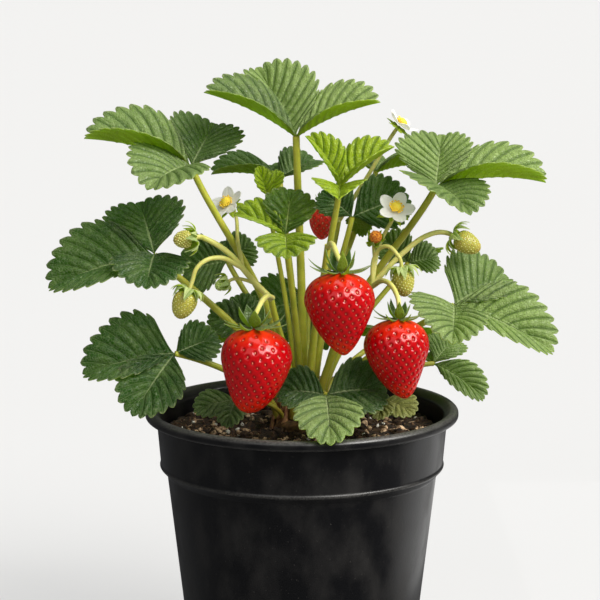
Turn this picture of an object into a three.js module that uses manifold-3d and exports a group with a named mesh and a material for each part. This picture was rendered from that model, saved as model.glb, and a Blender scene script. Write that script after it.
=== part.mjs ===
// A strawberry plant in a round plastic nursery pot, at its real size in millimetres, +Z up.
// The origin is the centre of the pot's flat foot. The plant faces -Y, the side its three ripe berries hang on.
//
// The pot holds a plug of potting soil, and a short woody crown stands in a plain hole in the soil. Leaf stalks
// and fruit stalks rise from the flat top of the crown. Each leaf is one solid: a stalk and three toothed,
// pleated leaflets. Each fruit stalk is one solid with its branches and leafy caps, and the berries and flowers
// sit in those caps with a hairline of clearance.

import * as THREE from "three";
import { mergeVertices } from "three/addons/utils/BufferGeometryUtils.js";
import Module from "manifold-3d";

const wasm = await Module();
wasm.setup();

// Driving dimensions
const POT = { height: 150, footRadius: 58, bodyTop: 115.5, bodyTopRadius: 71.3, wall: 1.8, sides: 32 };
const LIP = { radius: 82.5, breadth: 4, drop: 3, corner: 1.4 };
const COLLAR = { bottom: 119.5, bottomRadius: 74.6, top: 144.6, topRadius: 76.6 };
const FLOOR = 2.5; // thickness of the pot's floor
const GAP = 0.3; // the clearance kept between two separate solids that touch
const SOIL = { top: 138, lump: 1.3, rings: 3, sectors: 20 };
const CROWN = { x: 1, y: 2, top: 144, bottom: 118, radius: 18 };
const STALK_PITCH = 4.9; // the least distance between two stalks where they leave the crown
const UPRIGHT = 0.45; // a stalk aims straight up for this share of its height before it leans
const BLADE = 0.8; // thickness of a leaf blade
const SEAM = 0.06; // how far a surface may move where slivers are cleared away

// Small vector helpers
const vec = (p) => new THREE.Vector3(...p);
const along = (a, b, t) => a.clone().lerp(b, t);
const radians = THREE.MathUtils.degToRad;

// Turns a closed three.js geometry into a solid, and a solid back into a geometry
function solidOf(geometry) {
  const bare = geometry.index ? geometry.toNonIndexed() : geometry.clone();
  bare.deleteAttribute("normal");
  bare.deleteAttribute("uv");
  const merged = mergeVertices(bare, 1e-4);
  const vertProperties = new Float32Array(merged.attributes.position.array);
  const triVerts = new Uint32Array(merged.index.array);
  return new wasm.Manifold(new wasm.Mesh({ numProp: 3, vertProperties, triVerts }));
}

function geometryOf(solid) {
  const mesh = solid.getMesh();
  const geometry = new THREE.BufferGeometry();
  const positions = new Float32Array(mesh.numVert * 3);
  for (let i = 0; i < mesh.numVert; i++) {
    positions.set(mesh.vertProperties.subarray(i * mesh.numProp, i * mesh.numProp + 3), i * 3);
  }
  geometry.setAttribute("position", new THREE.BufferAttribute(positions, 3));
  geometry.setIndex(new THREE.BufferAttribute(new Uint32Array(mesh.triVerts), 1));
  return geometry;
}

function geometryFromFaces(points, faces) {
  const geometry = new THREE.BufferGeometry();
  geometry.setAttribute("position", new THREE.Float32BufferAttribute(points.flatMap((p) => [p.x, p.y, p.z]), 3));
  geometry.setIndex(faces.flat());
  return geometry;
}

// Joins solids into one, clears away slivers along the seams, and drops any scrap that this cuts loose
function joined(solids) {
  const pieces = wasm.Manifold.union(solids).simplify(SEAM).decompose();
  return pieces.sort((a, b) => b.volume() - a.volume())[0];
}

// A stalk: a many-sided rod along a curve
function rod(curve, radius, steps, sides = 6) {
  const corners = [];
  for (let i = 0; i < sides; i++) {
    const turn = (2 * Math.PI * i) / sides;
    corners.push(new THREE.Vector2(radius * Math.cos(turn), radius * Math.sin(turn)));
  }
  const section = new THREE.Shape(corners);
  return solidOf(new THREE.ExtrudeGeometry(section, { steps, extrudePath: curve, bevelEnabled: false }));
}

// Where the stalks stand on the flat top of the crown. Each starts on the side that it leans to, further out the
// more it leans, and then neighbours push each other apart until none is closer than the pitch.
function rootPlaces(ends) {
  const middle = new THREE.Vector3(CROWN.x, CROWN.y, CROWN.top + GAP);
  const places = ends.map((end) => {
    const way = vec(end).sub(middle);
    const reach = CROWN.radius * 0.8 * Math.min(1, Math.hypot(way.x, way.y) / way.z);
    return middle.clone().add(way.setZ(0).setLength(reach));
  });
  for (let round = 0; round < 300; round++) {
    for (const a of places) {
      for (const b of places) {
        const apart = a.clone().sub(b);
        if (a === b || apart.length() >= STALK_PITCH) continue;
        apart.setLength((STALK_PITCH - apart.length()) / 2);
        a.add(apart);
        b.sub(apart);
      }
    }
  }
  return places;
}

// A stalk leaves the crown upright, and soon runs almost straight to its end
function stalkCurve(start, end, bow) {
  const rise = start.clone().setZ(start.z + UPRIGHT * (end.z - start.z));
  const near = along(start, end, 0.68).add(new THREE.Vector3(0, 0, bow));
  return new THREE.CubicBezierCurve3(start, rise, near, end);
}

// Pot: one moulded wall with a rolled lip, a collar band and a flat floor
function potSolid() {
  const inside = (radius) => radius - POT.wall;
  const outline = [
    [0, 0],
    [POT.footRadius, 0],
    [POT.bodyTopRadius, POT.bodyTop],
    [COLLAR.bottomRadius, COLLAR.bottom],
    [COLLAR.topRadius, COLLAR.top],
    [LIP.radius - LIP.corner, COLLAR.top + 0.2],
    [LIP.radius, COLLAR.top + LIP.corner],
    [LIP.radius, POT.height - LIP.corner],
    [LIP.radius - LIP.corner, POT.height],
    [LIP.radius - LIP.breadth, POT.height],
    [inside(COLLAR.topRadius) + 0.6, POT.height - LIP.drop],
    [inside(COLLAR.bottomRadius), COLLAR.bottom + POT.wall],
    [inside(POT.bodyTopRadius), POT.bodyTop + POT.wall],
    [inside(POT.footRadius), FLOOR],
    [0, FLOOR],
  ];
  const points = outline.map(([r, z]) => new THREE.Vector2(r, z));
  return solidOf(new THREE.LatheGeometry(points, POT.sides).rotateX(Math.PI / 2));
}

// Soil: a plug that fills the pot, with a lumpy top raised by a formula
function soilHeight(x, y) {
  const coarse = Math.sin(x * 0.17 + 1.3) * Math.cos(y * 0.21 - 0.4);
  const fine = Math.sin(x * 0.43 - y * 0.31) * Math.cos(y * 0.47 + x * 0.12);
  return SOIL.top + SOIL.lump * (0.6 * coarse + 0.6 * fine);
}

function soilSolid(crown) {
  const innerRadius = (z) => {
    const rise = (POT.bodyTopRadius - POT.footRadius) / (POT.bodyTop - 1.5);
    return POT.footRadius + rise * (z - 1.5) - POT.wall - 2 * GAP;
  };
  const bottom = FLOOR + GAP;
  const middle = POT.bodyTop - 1;
  const points = [new THREE.Vector3(0, 0, soilHeight(0, 0))];
  const faces = [];
  const ring = (radius, height) => {
    const first = points.length;
    for (let s = 0; s < SOIL.sectors; s++) {
      const turn = (2 * Math.PI * s) / SOIL.sectors;
      const x = radius * Math.cos(turn);
      const y = radius * Math.sin(turn);
      points.push(new THREE.Vector3(x, y, height(x, y)));
    }
    return first;
  };
  const rings = [];
  for (let r = 1; r <= SOIL.rings; r++) {
    rings.push(ring((innerRadius(middle) * r) / SOIL.rings, soilHeight));
  }
  rings.push(ring(innerRadius(middle), () => middle));
  rings.push(ring(innerRadius(bottom) - 0.5, () => bottom));
  points.push(new THREE.Vector3(0, 0, bottom));
  const last = points.length - 1;
  for (let s = 0; s < SOIL.sectors; s++) {
    const next = (s + 1) % SOIL.sectors;
    faces.push([0, rings[0] + s, rings[0] + next]);
    for (let r = 1; r < rings.length; r++) {
      const inner = rings[r - 1];
      const outer = rings[r];
      faces.push([inner + s, outer + s, outer + next], [inner + s, outer + next, inner + next]);
    }
    faces.push([last, rings.at(-1) + next, rings.at(-1) + s]);
  }
  const hole = crown.translate([-CROWN.x, -CROWN.y, 0]).scale([1 + GAP / 12, 1 + GAP / 12, 1]);
  const deeper = hole.translate([CROWN.x, CROWN.y, -GAP]).add(hole.translate([CROWN.x, CROWN.y, GAP]));
  return solidOf(geometryFromFaces(points, faces)).subtract(deeper);
}

// Crown: the short woody stem that every stalk grows from
function crownSolid() {
  const { radius, top, bottom } = CROWN;
  const outline = [
    [0, bottom],
    [radius * 0.55, bottom],
    [radius * 0.9, bottom + 9],
    [radius, bottom + 19],
    [radius * 0.97, top - 3],
    [radius * 0.9, top],
    [0, top],
  ];
  const points = outline.map(([r, z]) => new THREE.Vector2(r, z));
  const body = new THREE.LatheGeometry(points, 14).rotateX(Math.PI / 2);
  return solidOf(body.translate(CROWN.x, CROWN.y, 0));
}

// A leaflet is drawn flat, along x from 0 to 1 with its half width at each x, then folded, drooped and placed
const BASE = 0.12; // where the narrow wedge at the foot of a leaflet ends
const TOOTH_START = 0.26;
const TOOTH_END = 0.965;
const NOTCH_DEPTH = 0.84; // the half width in the notch between two teeth, as a share of the full half width
const WIDEST = 1.22; // the larger, the nearer the tip a leaflet is widest
const EARLY = 2; // how much nearer its foot the wide half of a lopsided leaflet is widest
const halfWidth = (x, early = 0) => Math.sin(Math.PI * Math.min(1, x) ** (WIDEST - early)) ** (0.95 - 0.22 * x);

function toothPlace(a) {
  return TOOTH_START + (TOOTH_END - TOOTH_START) * Math.sin((a * Math.PI) / 2) ** 0.94;
}

// Both faces of a leaflet use these flat points: a row along the toothed margin of each half, and one at the midrib
function marginPlan(teeth, early) {
  const margin = [{ x: BASE, y: 0.4 * halfWidth(BASE), crest: 0 }];
  for (let i = 0; i <= teeth; i++) {
    const notch = toothPlace(Math.max(0, (i - 0.5) / (teeth - 0.5)));
    margin.push({ x: notch - 0.02, y: halfWidth(notch, early) * NOTCH_DEPTH, crest: 1 });
    if (i === teeth) break;
    const point = toothPlace(Math.min(1, i / (teeth - 0.5)));
    margin.push({ x: point + 0.012, y: halfWidth(point, early), crest: -1 });
  }
  return margin;
}

function midribPlan(teeth) {
  const midrib = [0];
  for (let i = 0; i < teeth; i++) {
    const point = toothPlace(i / (teeth - 0.5));
    midrib.push(Math.max(0.05 + 0.05 * i, point - 0.72 * halfWidth(point)));
  }
  return [...midrib, 1];
}

function leafletSolid(hub, leaflet, teeth) {
  const tip = vec(leaflet.tip);
  const chord = tip.length();
  const forward = tip.clone().normalize();
  const face = vec(leaflet.face);
  const up = face.addScaledVector(forward, -face.dot(forward)).normalize();
  const side = new THREE.Vector3().crossVectors(up, forward);
  const droop = radians(leaflet.droop);
  const fold = radians(leaflet.fold);
  const bend = chord / (2 * Math.sin(droop / 2));
  const half = leaflet.width / 2;
  const share = leaflet.skew ?? 0;

  // The midrib is an arc from the hub to the tip, and the blade stands off it by its fold and pleats
  const place = (x, y, lift, handed, skin) => {
    const lean = droop / 2 - droop * x;
    const reach = bend * (Math.sin(droop / 2) - Math.sin(lean));
    const height = bend * (Math.cos(lean) - Math.cos(droop / 2));
    const normal = up.clone().multiplyScalar(Math.cos(lean)).addScaledVector(forward, -Math.sin(lean));
    const out = half * y * (1 + handed * share);
    const spread = out * Math.cos(fold);
    const raised = out * Math.sin(fold) + lift;
    const point = hub.clone().addScaledVector(forward, reach).addScaledVector(up, height);
    point.addScaledVector(side, handed * (spread - skin * Math.sin(fold) * (y > 0 ? 1 : 0)));
    return point.addScaledVector(normal, raised + skin * (y > 0 ? Math.cos(fold) : 1 / Math.cos(fold)));
  };

  const points = [];
  const rows = { midrib: [], 1: [], "-1": [] };
  const add = (x, y, lift, handed) => {
    points.push(place(x, y, lift, handed, BLADE / 2), place(x, y, lift, handed, -BLADE / 2));
    return points.length / 2 - 1;
  };
  for (const x of midribPlan(teeth)) rows.midrib.push(add(x, 0, 0, 1));
  for (const handed of [1, -1]) {
    const margin = marginPlan(teeth, EARLY * Math.max(0, handed * share));
    for (const m of margin) rows[handed].push(add(m.x, m.y, m.crest * leaflet.pleat, handed));
  }

  // Flat triangles of one half, counted from the base, then both skins and the wall round the edge
  const faces = [];
  const skin = (a, b, c, handed) => {
    const [p, q, r] = handed > 0 ? [a, c, b] : [a, b, c];
    faces.push([2 * p, 2 * q, 2 * r], [2 * p + 1, 2 * r + 1, 2 * q + 1]);
  };
  for (const handed of [1, -1]) {
    const edge = rows[handed];
    const rib = rows.midrib;
    skin(rib[0], edge[0], rib[1], handed);
    skin(edge[0], edge[1], rib[1], handed);
    skin(edge[1], edge[2], rib[1], handed);
    for (let i = 1; i < teeth; i++) {
      skin(rib[i], edge[2 * i], edge[2 * i + 1], handed);
      skin(rib[i], edge[2 * i + 1], rib[i + 1], handed);
      skin(rib[i + 1], edge[2 * i + 1], edge[2 * i + 2], handed);
    }
    skin(rib[teeth], edge[2 * teeth], edge[2 * teeth + 1], handed);
    skin(rib[teeth], edge[2 * teeth + 1], rib[teeth + 1], handed);
    const rim = [rib[0], ...edge, rib[teeth + 1]];
    for (let i = 1; i < rim.length; i++) {
      const [a, b] = handed > 0 ? [rim[i - 1], rim[i]] : [rim[i], rim[i - 1]];
      faces.push([2 * a, 2 * b, 2 * b + 1], [2 * a, 2 * b + 1, 2 * a + 1]);
    }
  }
  return solidOf(geometryFromFaces(points, faces));
}

// A leaf is its stalk with the leaflets' feet sunk in the stalk's end
function leafSolid(leaf, start) {
  const hub = vec(leaf.hub);
  const curve = stalkCurve(start, hub, leaf.bow);
  const heart = hub.clone().addScaledVector(curve.getTangent(1), -0.8 * leaf.radius);
  const pieces = [rod(curve, leaf.radius, 4, 5)];
  for (const leaflet of leaf.leaflets) {
    pieces.push(leafletSolid(heart, { pleat: 0.6, ...leaflet }, leaf.teeth));
  }
  return joined(pieces);
}

// Every leaf: the point where its leaflets meet, the stalk's bow and radius, and for each leaflet its tip
// measured from that point, its width, the way its upper face looks, and its fold and droop.
const L = (tip, width, face, fold, droop, extra = {}) => ({ tip, width, face, fold, droop, ...extra });
const LEAVES = {
  leaf_top: { hub: [-3, 5, 292], bow: 2, radius: 2.1, teeth: 5, leaflets: [
    L([-47, -8, 23], 42, [0, -0.3, 1], 31, 22),
    L([-17, 30, 36], 46, [0.1, -1, 0.75], 22, 14, { skew: -0.12 }),
    L([43, -8, 18], 44, [0, -0.3, 1], 31, 22)] },
  leaf_top_left: { hub: [-57, -5, 277], bow: 4, radius: 1.9, teeth: 5, leaflets: [
    L([-54, -5, 15], 46, [0, -0.24, 1], 41, 26, { skew: -0.1 }),
    L([11, 30, 20], 44, [0.1, -1, 0.8], 24, 16),
    L([-20, -36, -8], 48, [0.14, -0.36, 1], 22, 36)] },
  leaf_left: { hub: [-76, -10, 232], bow: 5, radius: 1.9, teeth: 5, leaflets: [
    L([-54, -8, -16], 47, [-0.1, -0.85, 1], 26, 24, { skew: -0.12 }),
    L([-10, 29, 24], 46, [0, -1, 0.85], 18, 20),
    L([-2, -31, -13], 42, [0, -0.7, 1], 12, 34)] },
  leaf_low_left: { hub: [-65.5, -20, 182], bow: 8, radius: 1.7, teeth: 4, leaflets: [
    L([-47, -5, -9.5], 42, [-0.1, -0.9, 0.8], 28, 26, { skew: -0.3 }),
    L([22, 10, 7], 26, [0.1, -1, 0.7], 14, 18),
    L([-20, -26, -27], 38, [-0.1, -1, 0.6], 12, 22)] },
  leaf_top_right: { hub: [69.5, 0, 266], bow: 4, radius: 2, teeth: 5, leaflets: [
    L([5, 28, 25], 44, [-0.15, -1, 0.7], 22, 16, { skew: 0.12 }),
    L([56, -5, 3], 46, [0, -0.24, 1], 38, 34),
    L([15, -34, -10.5], 50, [0.15, -0.4, 1], 24, 32, { skew: -0.25 })] },
  leaf_right: { hub: [78.5, -15, 206.5], bow: 6, radius: 1.8, teeth: 5, leaflets: [
    L([30, 23, 11], 42, [-0.2, -1, 0.8], 24, 22, { skew: 0.2 }),
    L([50.5, -10, -22.5], 41, [0.15, -0.8, 1], 26, 26, { skew: 0.15 }),
    L([-3, -27, -15.5], 45, [0.12, -0.9, 0.85], 22, 26, { skew: -0.2 })] },
  leaf_low_right: { hub: [71, 25, 168], bow: 8, radius: 1.5, teeth: 4, leaflets: [
    L([27, -7, -18], 24, [0, -0.8, 1], 24, 32),
    L([13, 25, 8], 24, [0, -1, 1], 16, 20),
    L([-10, 32, -6], 28, [0, 0, 1], 18, 30)] },
  leaf_front: { hub: [12, -45, 165.5], bow: 8, radius: 1.6, teeth: 5, leaflets: [
    L([-24, 5, 0.5], 30, [0, -0.8, 1], 14, 30),
    L([31, 7, 1], 38, [0, -0.9, 1], 14, 28),
    L([2, -41, -16], 36, [0, -1, 0.9], 12, 24)] },
  leaf_young_left: { hub: [-8.5, -30, 244.5], bow: 3, radius: 1.6, teeth: 4, leaflets: [
    L([-26, 3, 10], 27, [0, -0.5, 1], 36, 24),
    L([3, 15, 22], 29, [0.1, -1, 0.5], 18, 14),
    L([1, -20, -9], 32, [0, -0.8, 1], 14, 34)] },
  leaf_young_right: { hub: [19.3, -20, 268.5], bow: 3, radius: 1.7, teeth: 4, leaflets: [
    L([-17.5, 5, 25], 26, [0.7, -0.7, 0.4], 44, 14),
    L([27.5, 5, 19.5], 30, [-0.5, -0.5, 0.8], 40, 14),
    L([-1, -19, -4.5], 34, [0, -0.25, 1], 34, -45)] },
  leaf_back_left: { hub: [-12, 45, 266], bow: 6, radius: 1.7, teeth: 3, leaflets: [
    L([-36.5, -7, 3], 34, [0, -0.15, 1], 30, 26),
    L([20, 16, 8], 30, [0, -0.5, 1], 24, 24),
    L([-12, 38, 0], 36, [0, 0.2, 1], 20, 34)] },
  leaf_bud: { hub: [-18, 10, 260], bow: 3, radius: 1.3, teeth: 3, leaflets: [
    L([-5, 0, 16], 12, [0.3, -1, 0.2], 30, 12),
    L([7, 5, 13], 12, [-0.2, -1, 0.5], 30, 12)] },
  leaf_back_right: { hub: [26.5, 15, 248.5], bow: 4, radius: 1.6, teeth: 3, leaflets: [
    L([30, 5, 11], 34, [0.1, -1, 0.6], 12, 20),
    L([-16, 9, 13], 24, [0, -1, 0.6], 16, 20),
    L([6, 12, -12], 16, [0, 0.3, 1], 20, 28)] },
  leaf_mid_right: { hub: [57, 30, 222], bow: 5, radius: 1.5, teeth: 3, leaflets: [
    L([17, 4, 2], 22, [0, -1, 0.8], 16, 26),
    L([-14, 5, 14], 24, [0, -1, 0.6], 16, 20),
    L([10, 32, -4], 32, [0, 0.2, 1], 20, 30)] },
  leaf_behind_right: { hub: [40, 42, 270], bow: 6, radius: 1.6, teeth: 3, leaflets: [
    L([32, 0, 3], 32, [0, 0.1, 1], 24, 30),
    L([-22, 20, 6], 28, [0, 0, 1], 20, 24),
    L([10, 36, 2], 34, [0, 0.2, 1], 20, 34)] },
  leaf_mid_left: { hub: [-40, 35, 222], bow: 5, radius: 1.6, teeth: 3, leaflets: [
    L([-25, 3, -6], 38, [0, -1, 0.7], 14, 26),
    L([14, 2, 10], 24, [0, -1, 0.5], 16, 20),
    L([-10, 34, 4], 34, [0, 0.2, 1], 20, 30)] },
  leaf_inner_left: { hub: [-28, 12, 190], bow: 5, radius: 1.4, teeth: 3, leaflets: [
    L([-22, 0, 6], 24, [0, -1, 0.7], 14, 26),
    L([-7, 9, 16], 20, [0, -1, 0.5], 14, 20)] },
  leaf_soil_left: { hub: [-34, -30, 160], bow: 6, radius: 1.2, teeth: 3, leaflets: [
    L([-21, -6, -5], 19, [0, -0.8, 1], 10, 28),
    L([-4, -17, -11], 16, [0, -0.6, 1], 10, 24)] },
  leaf_soil_right: { hub: [42.5, -24, 158.5], bow: 6, radius: 1.2, teeth: 3, leaflets: [
    L([15, -12, -5], 19, [0, -0.8, 1], 10, 28),
    L([-4, -16, -7], 15, [0, -0.4, 1], 14, 24)] },
  leaf_rear_left: { hub: [-32, 68, 172], bow: 10, radius: 1.6, teeth: 3, leaflets: [
    L([-34, 4, -8], 34, [0, 0.3, 1], 20, 34),
    L([-6, 36, -8], 36, [0, 0.4, 1], 20, 38),
    L([27, 10, -2], 30, [0, 0.3, 1], 20, 30)] },
  leaf_rear_right: { hub: [48, 66, 174], bow: 10, radius: 1.6, teeth: 3, leaflets: [
    L([34, 4, -8], 34, [0, 0.3, 1], 20, 34),
    L([6, 36, -8], 36, [0, 0.4, 1], 20, 38),
    L([-27, 10, -2], 30, [0, 0.3, 1], 20, 30)] },
  leaf_rear: { hub: [4, 50, 198], bow: 10, radius: 1.6, teeth: 3, leaflets: [
    L([-32, 5, -7], 38, [-0.1, -1, 0.5], 14, 22),
    L([2, -2, -29], 32, [0, -1, 0.25], 12, 20),
    L([32, 5, -7], 38, [0.1, -1, 0.5], 14, 22)] },
};

// A berry is a round-shouldered cone in its own frame, with its cap seat at 0 and its tip at -length
const SHOULDER = 0.35; // the share of the length where a berry is widest
function berryRadius(t, taper, blunt) {
  if (t < SHOULDER) return Math.sqrt(1 - (1 - t / SHOULDER) ** 2.4);
  return (1 - ((t - SHOULDER) / (1 - SHOULDER)) ** taper) ** blunt;
}

// Seeds sit in pits: pits are the vertices of a staggered net, and the flesh rises between them
function berrySolid(berry) {
  const { rows, around, pit } = berry;
  const points = [new THREE.Vector3(0, 0, 0)];
  const triangles = [];
  const index = (row, k) => 1 + row * around + (((k % around) + around) % around);
  for (let row = 0; row < rows; row++) {
    const t = (row + 0.35) / (rows - 0.1);
    for (let k = 0; k < around; k++) {
      const turn = (2 * Math.PI * (k + (row % 2) / 2)) / around;
      points.push(berryPoint(berry, t, turn));
    }
  }
  points.push(berryPoint(berry, 1, 0));
  const last = points.length - 1;
  for (let k = 0; k < around; k++) {
    triangles.push([0, index(0, k), index(0, k + 1)]);
    for (let row = 0; row < rows - 1; row++) {
      const shift = row % 2;
      const [a, b] = [index(row, k), index(row, k + 1)];
      const [c, d] = [index(row + 1, k + shift - 1), index(row + 1, k + shift)];
      triangles.push([a, c, d], [a, d, b]);
    }
    triangles.push([index(rows - 1, k), last, index(rows - 1, k + 1)]);
  }
  return solidOf(pittedNet(points, triangles, pit)).transform(berryMatrix(berry));
}

function berryPoint(berry, t, turn) {
  const radius = (berry.width / 2) * berryRadius(t, berry.taper, berry.blunt);
  const shift = berry.bend * (t * t - 2 * SHOULDER * t);
  return new THREE.Vector3(radius * Math.cos(turn) + shift, radius * Math.sin(turn), -berry.length * t);
}

// Each triangle gets a raised middle, and each edge is turned to join two middles, so every old vertex is a pit
function pittedNet(points, triangles, pit) {
  const inner = new THREE.Vector3();
  points.forEach((p) => inner.add(p));
  inner.multiplyScalar(1 / points.length);
  const middles = triangles.map(([a, b, c]) => {
    const middle = points[a].clone().add(points[b]).add(points[c]).multiplyScalar(1 / 3);
    const out = middle.clone().sub(inner).normalize();
    return middle.addScaledVector(out, pit);
  });
  const owner = new Map();
  triangles.forEach((t, i) => {
    for (let s = 0; s < 3; s++) owner.set(t[s] + ":" + t[(s + 1) % 3], i);
  });
  const faces = [];
  triangles.forEach((t, i) => {
    for (let s = 0; s < 3; s++) {
      const [a, b] = [t[s], t[(s + 1) % 3]];
      const other = owner.get(b + ":" + a);
      faces.push([a, points.length + other, points.length + i]);
    }
  });
  return geometryFromFaces([...points, ...middles], faces);
}

// Turns a piece drawn with its stalk along +Z so that its fruit end points along aim, and puts it in place
function aimed(place, aim) {
  const turn = new THREE.Quaternion().setFromUnitVectors(new THREE.Vector3(0, 0, -1), vec(aim).normalize());
  return new THREE.Matrix4().compose(vec(place), turn, new THREE.Vector3(1, 1, 1));
}

const berryMatrix = (berry) => aimed(berry.seat, berry.aim).toArray();

// The berries: where each sits under its cap, the way its tip points, and its size
const BERRIES = {
  berry_left: {
    seat: [-23.6, -62, 202.5], aim: [0, 0, -1], width: 35.6, length: 42, bend: -8, rows: 7, around: 10,
    blunt: 0.46 },
  berry_centre: {
    seat: [18.9, -60, 230], aim: [0, 0, -1], width: 34.7, length: 41, bend: 6, rows: 7, around: 10, blunt: 0.64 },
  berry_right: {
    seat: [48.2, -50, 205], aim: [0, 0, -1], width: 31.9, length: 40, bend: 11, rows: 7, around: 10, spread: 0.8 },
  berry_back: {
    seat: [12, 41, 250.5], aim: [-0.1, 0.1, -1], width: 15, length: 17.5, bend: 1, rows: 5, around: 8, spread: 0.7 },
  green_low_left: { seat: [-57.2, -36, 217], aim: [-0.38, -0.1, -1], width: 12, length: 14.5, rows: 4, around: 7 },
  green_high_left: { seat: [-55.6, -30, 243.3], aim: [-1, -0.3, -0.1], width: 9, length: 9.5, rows: 3, around: 6 },
  green_mid_right: { seat: [50.6, -30, 227], aim: [0.13, -0.1, -1], width: 11, length: 13.5, rows: 4, around: 7 },
  green_high_right: { seat: [78.9, -10, 241.3], aim: [1, -0.2, -0.5], width: 11, length: 14.5, rows: 4, around: 7 },
};
const RIPE = { pit: 0.9, taper: 1.2, blunt: 0.59 };
const UNRIPE = { pit: 0.4, taper: 1.8, blunt: 0.5, bend: 0 };
const isRipe = (name) => name.startsWith("berry");

// A cap is one star of pointed sepals, each keeled below, drawn with the stalk along +Z and the fruit below 0.
// Its height at a radius is a smooth curve through the heights given for the middle and the tip of a sepal.
function capSolid(cap) {
  const count = cap.sepals;
  const size = cap.spread ?? 1;
  const points = [new THREE.Vector3(0, 0, 2.6), new THREE.Vector3(0, 0, GAP)];
  const add = (radius, height, turn) => {
    points.push(new THREE.Vector3(radius * Math.cos(turn), radius * Math.sin(turn), height));
    return points.length - 1;
  };
  const stations = [];
  for (let i = 0; i < count; i++) {
    const step = Math.PI / count;
    const turn = 2 * step * i + 0.33;
    const long = size * (i % 2 ? 0.82 : 1);
    const [middle, high] = [cap.middle[0] * long, cap.middle[1]];
    const spread = Math.atan(cap.width / 2 / middle);
    stations.push({
      notch: add(cap.boss, 1.1, turn - step),
      under: add(cap.boss * 0.8, GAP, turn),
      left: add(middle, high, turn - spread),
      right: add(middle, high, turn + spread),
      keel: add(middle, high - 0.8, turn),
      tip: add(cap.tip[0] * long, cap.tip[1] * long, turn),
    });
  }
  const faces = [];
  stations.forEach((p, i) => {
    const next = stations[(i + 1) % count];
    faces.push([0, p.notch, next.notch], [p.notch, p.left, p.right], [p.notch, p.right, next.notch]);
    faces.push([p.left, p.tip, p.right], [p.left, p.keel, p.tip], [p.keel, p.right, p.tip]);
    faces.push([p.notch, p.under, p.left], [p.under, p.keel, p.left]);
    faces.push([p.under, next.notch, p.right], [p.under, p.right, p.keel]);
    faces.push([1, next.notch, p.under], [1, next.under, next.notch]);
  });
  return solidOf(geometryFromFaces(points, faces)).transform(aimed(cap.seat, cap.aim).toArray());
}

const RIPE_CAP = { boss: 4, sepals: 8, middle: [10, 3.6], tip: [18.5, 9], width: 5 };
const GREEN_CAP = { boss: 2.6, sepals: 6, middle: [7.6, 1.4], tip: [10, -5], width: 4 };
const FLOWER_CAP = { boss: 2, sepals: 5, middle: [6, 1.2], tip: [10.5, 1.6], width: 3.4 };
const BUD_CAP = { boss: 2, sepals: 5, middle: [4.6, 0.6], tip: [6.5, -4.5], width: 3.4 };

// The flowers: where each sits on its cap, the way its back points, and its petal length
const FLOWERS = {
  flower_right: { seat: [47.9, -16, 256], aim: [-0.1, 0.72, -0.68], petal: 9.6 },
  flower_left: { seat: [-38.7, 15, 255.3], aim: [0.51, 0.6, -0.62], petal: 9.5 },
  flower_top: { seat: [51.5, 25, 296], aim: [-0.6, 0.1, -0.78], petal: 9, cup: 2.8 },
};

// One flower has dropped its petals, and one bud is still closed. Each is a round head inside its own cap.
const HEADS = {
  old_flower: { seat: [37.3, -17, 241], aim: [0.1, -0.85, 0.5], radius: 3.2 },
  bud: { seat: [-39, -20, 219], aim: [-0.9, -0.3, -0.4], radius: 2.6 },
};

// Every cap by the name of what it holds. A flower's cap opens the way that the flower faces.
function capOf(name) {
  if (isRipe(name)) return { ...RIPE_CAP, ...BERRIES[name] };
  if (BERRIES[name]) return { ...GREEN_CAP, ...BERRIES[name] };
  if (HEADS[name]) return { ...BUD_CAP, ...HEADS[name] };
  return { ...FLOWER_CAP, ...FLOWERS[name], aim: FLOWERS[name].aim.map((a) => -a) };
}

// A flower is drawn facing +Z, just above its cap: five rounded petals joined at the middle, and a domed centre
const PETAL_ROOT = 1.2; // thickness of the flower's middle
const CUPPED = 1.6; // how far the petals' tips rise, unless a flower gives its own cup
function petalsSolid(flower) {
  const size = flower.petal;
  const lobe = [[0.3, -36], [0.68, -30], [0.93, -17], [1, 0], [0.93, 17], [0.68, 30]];
  const points = [new THREE.Vector3(0, 0, 0), new THREE.Vector3(0, 0, PETAL_ROOT)];
  for (let i = 0; i < 5; i++) {
    for (const [reach, degrees] of lobe) {
      const turn = radians(72 * i + degrees);
      const low = new THREE.Vector3(size * reach * Math.cos(turn), size * reach * Math.sin(turn), 0);
      low.z = PETAL_ROOT / 2 + (flower.cup ?? CUPPED) * reach * reach;
      points.push(low, low.clone().setZ(low.z + BLADE));
    }
  }
  const faces = [];
  const count = (points.length - 2) / 2;
  for (let s = 0; s < count; s++) {
    const [a, b] = [2 + 2 * s, 2 + 2 * ((s + 1) % count)];
    faces.push([0, b, a], [1, a + 1, b + 1], [a, b, b + 1], [a, b + 1, a + 1]);
  }
  return solidOf(geometryFromFaces(points, faces)).transform(flowerMatrix(flower));
}

// A flower's aim is the way its back points
const flowerMatrix = (flower) => aimed(flower.seat, flower.aim).toArray();

const DOME = { radius: 3.7, flatness: 0.6 };
function centreSolid(flower) {
  const dome = new THREE.SphereGeometry(DOME.radius, 8, 4).rotateX(Math.PI / 2).scale(1, 1, DOME.flatness);
  dome.translate(0, 0, PETAL_ROOT + GAP + DOME.radius * DOME.flatness);
  return solidOf(dome).transform(flowerMatrix(flower));
}

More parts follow.
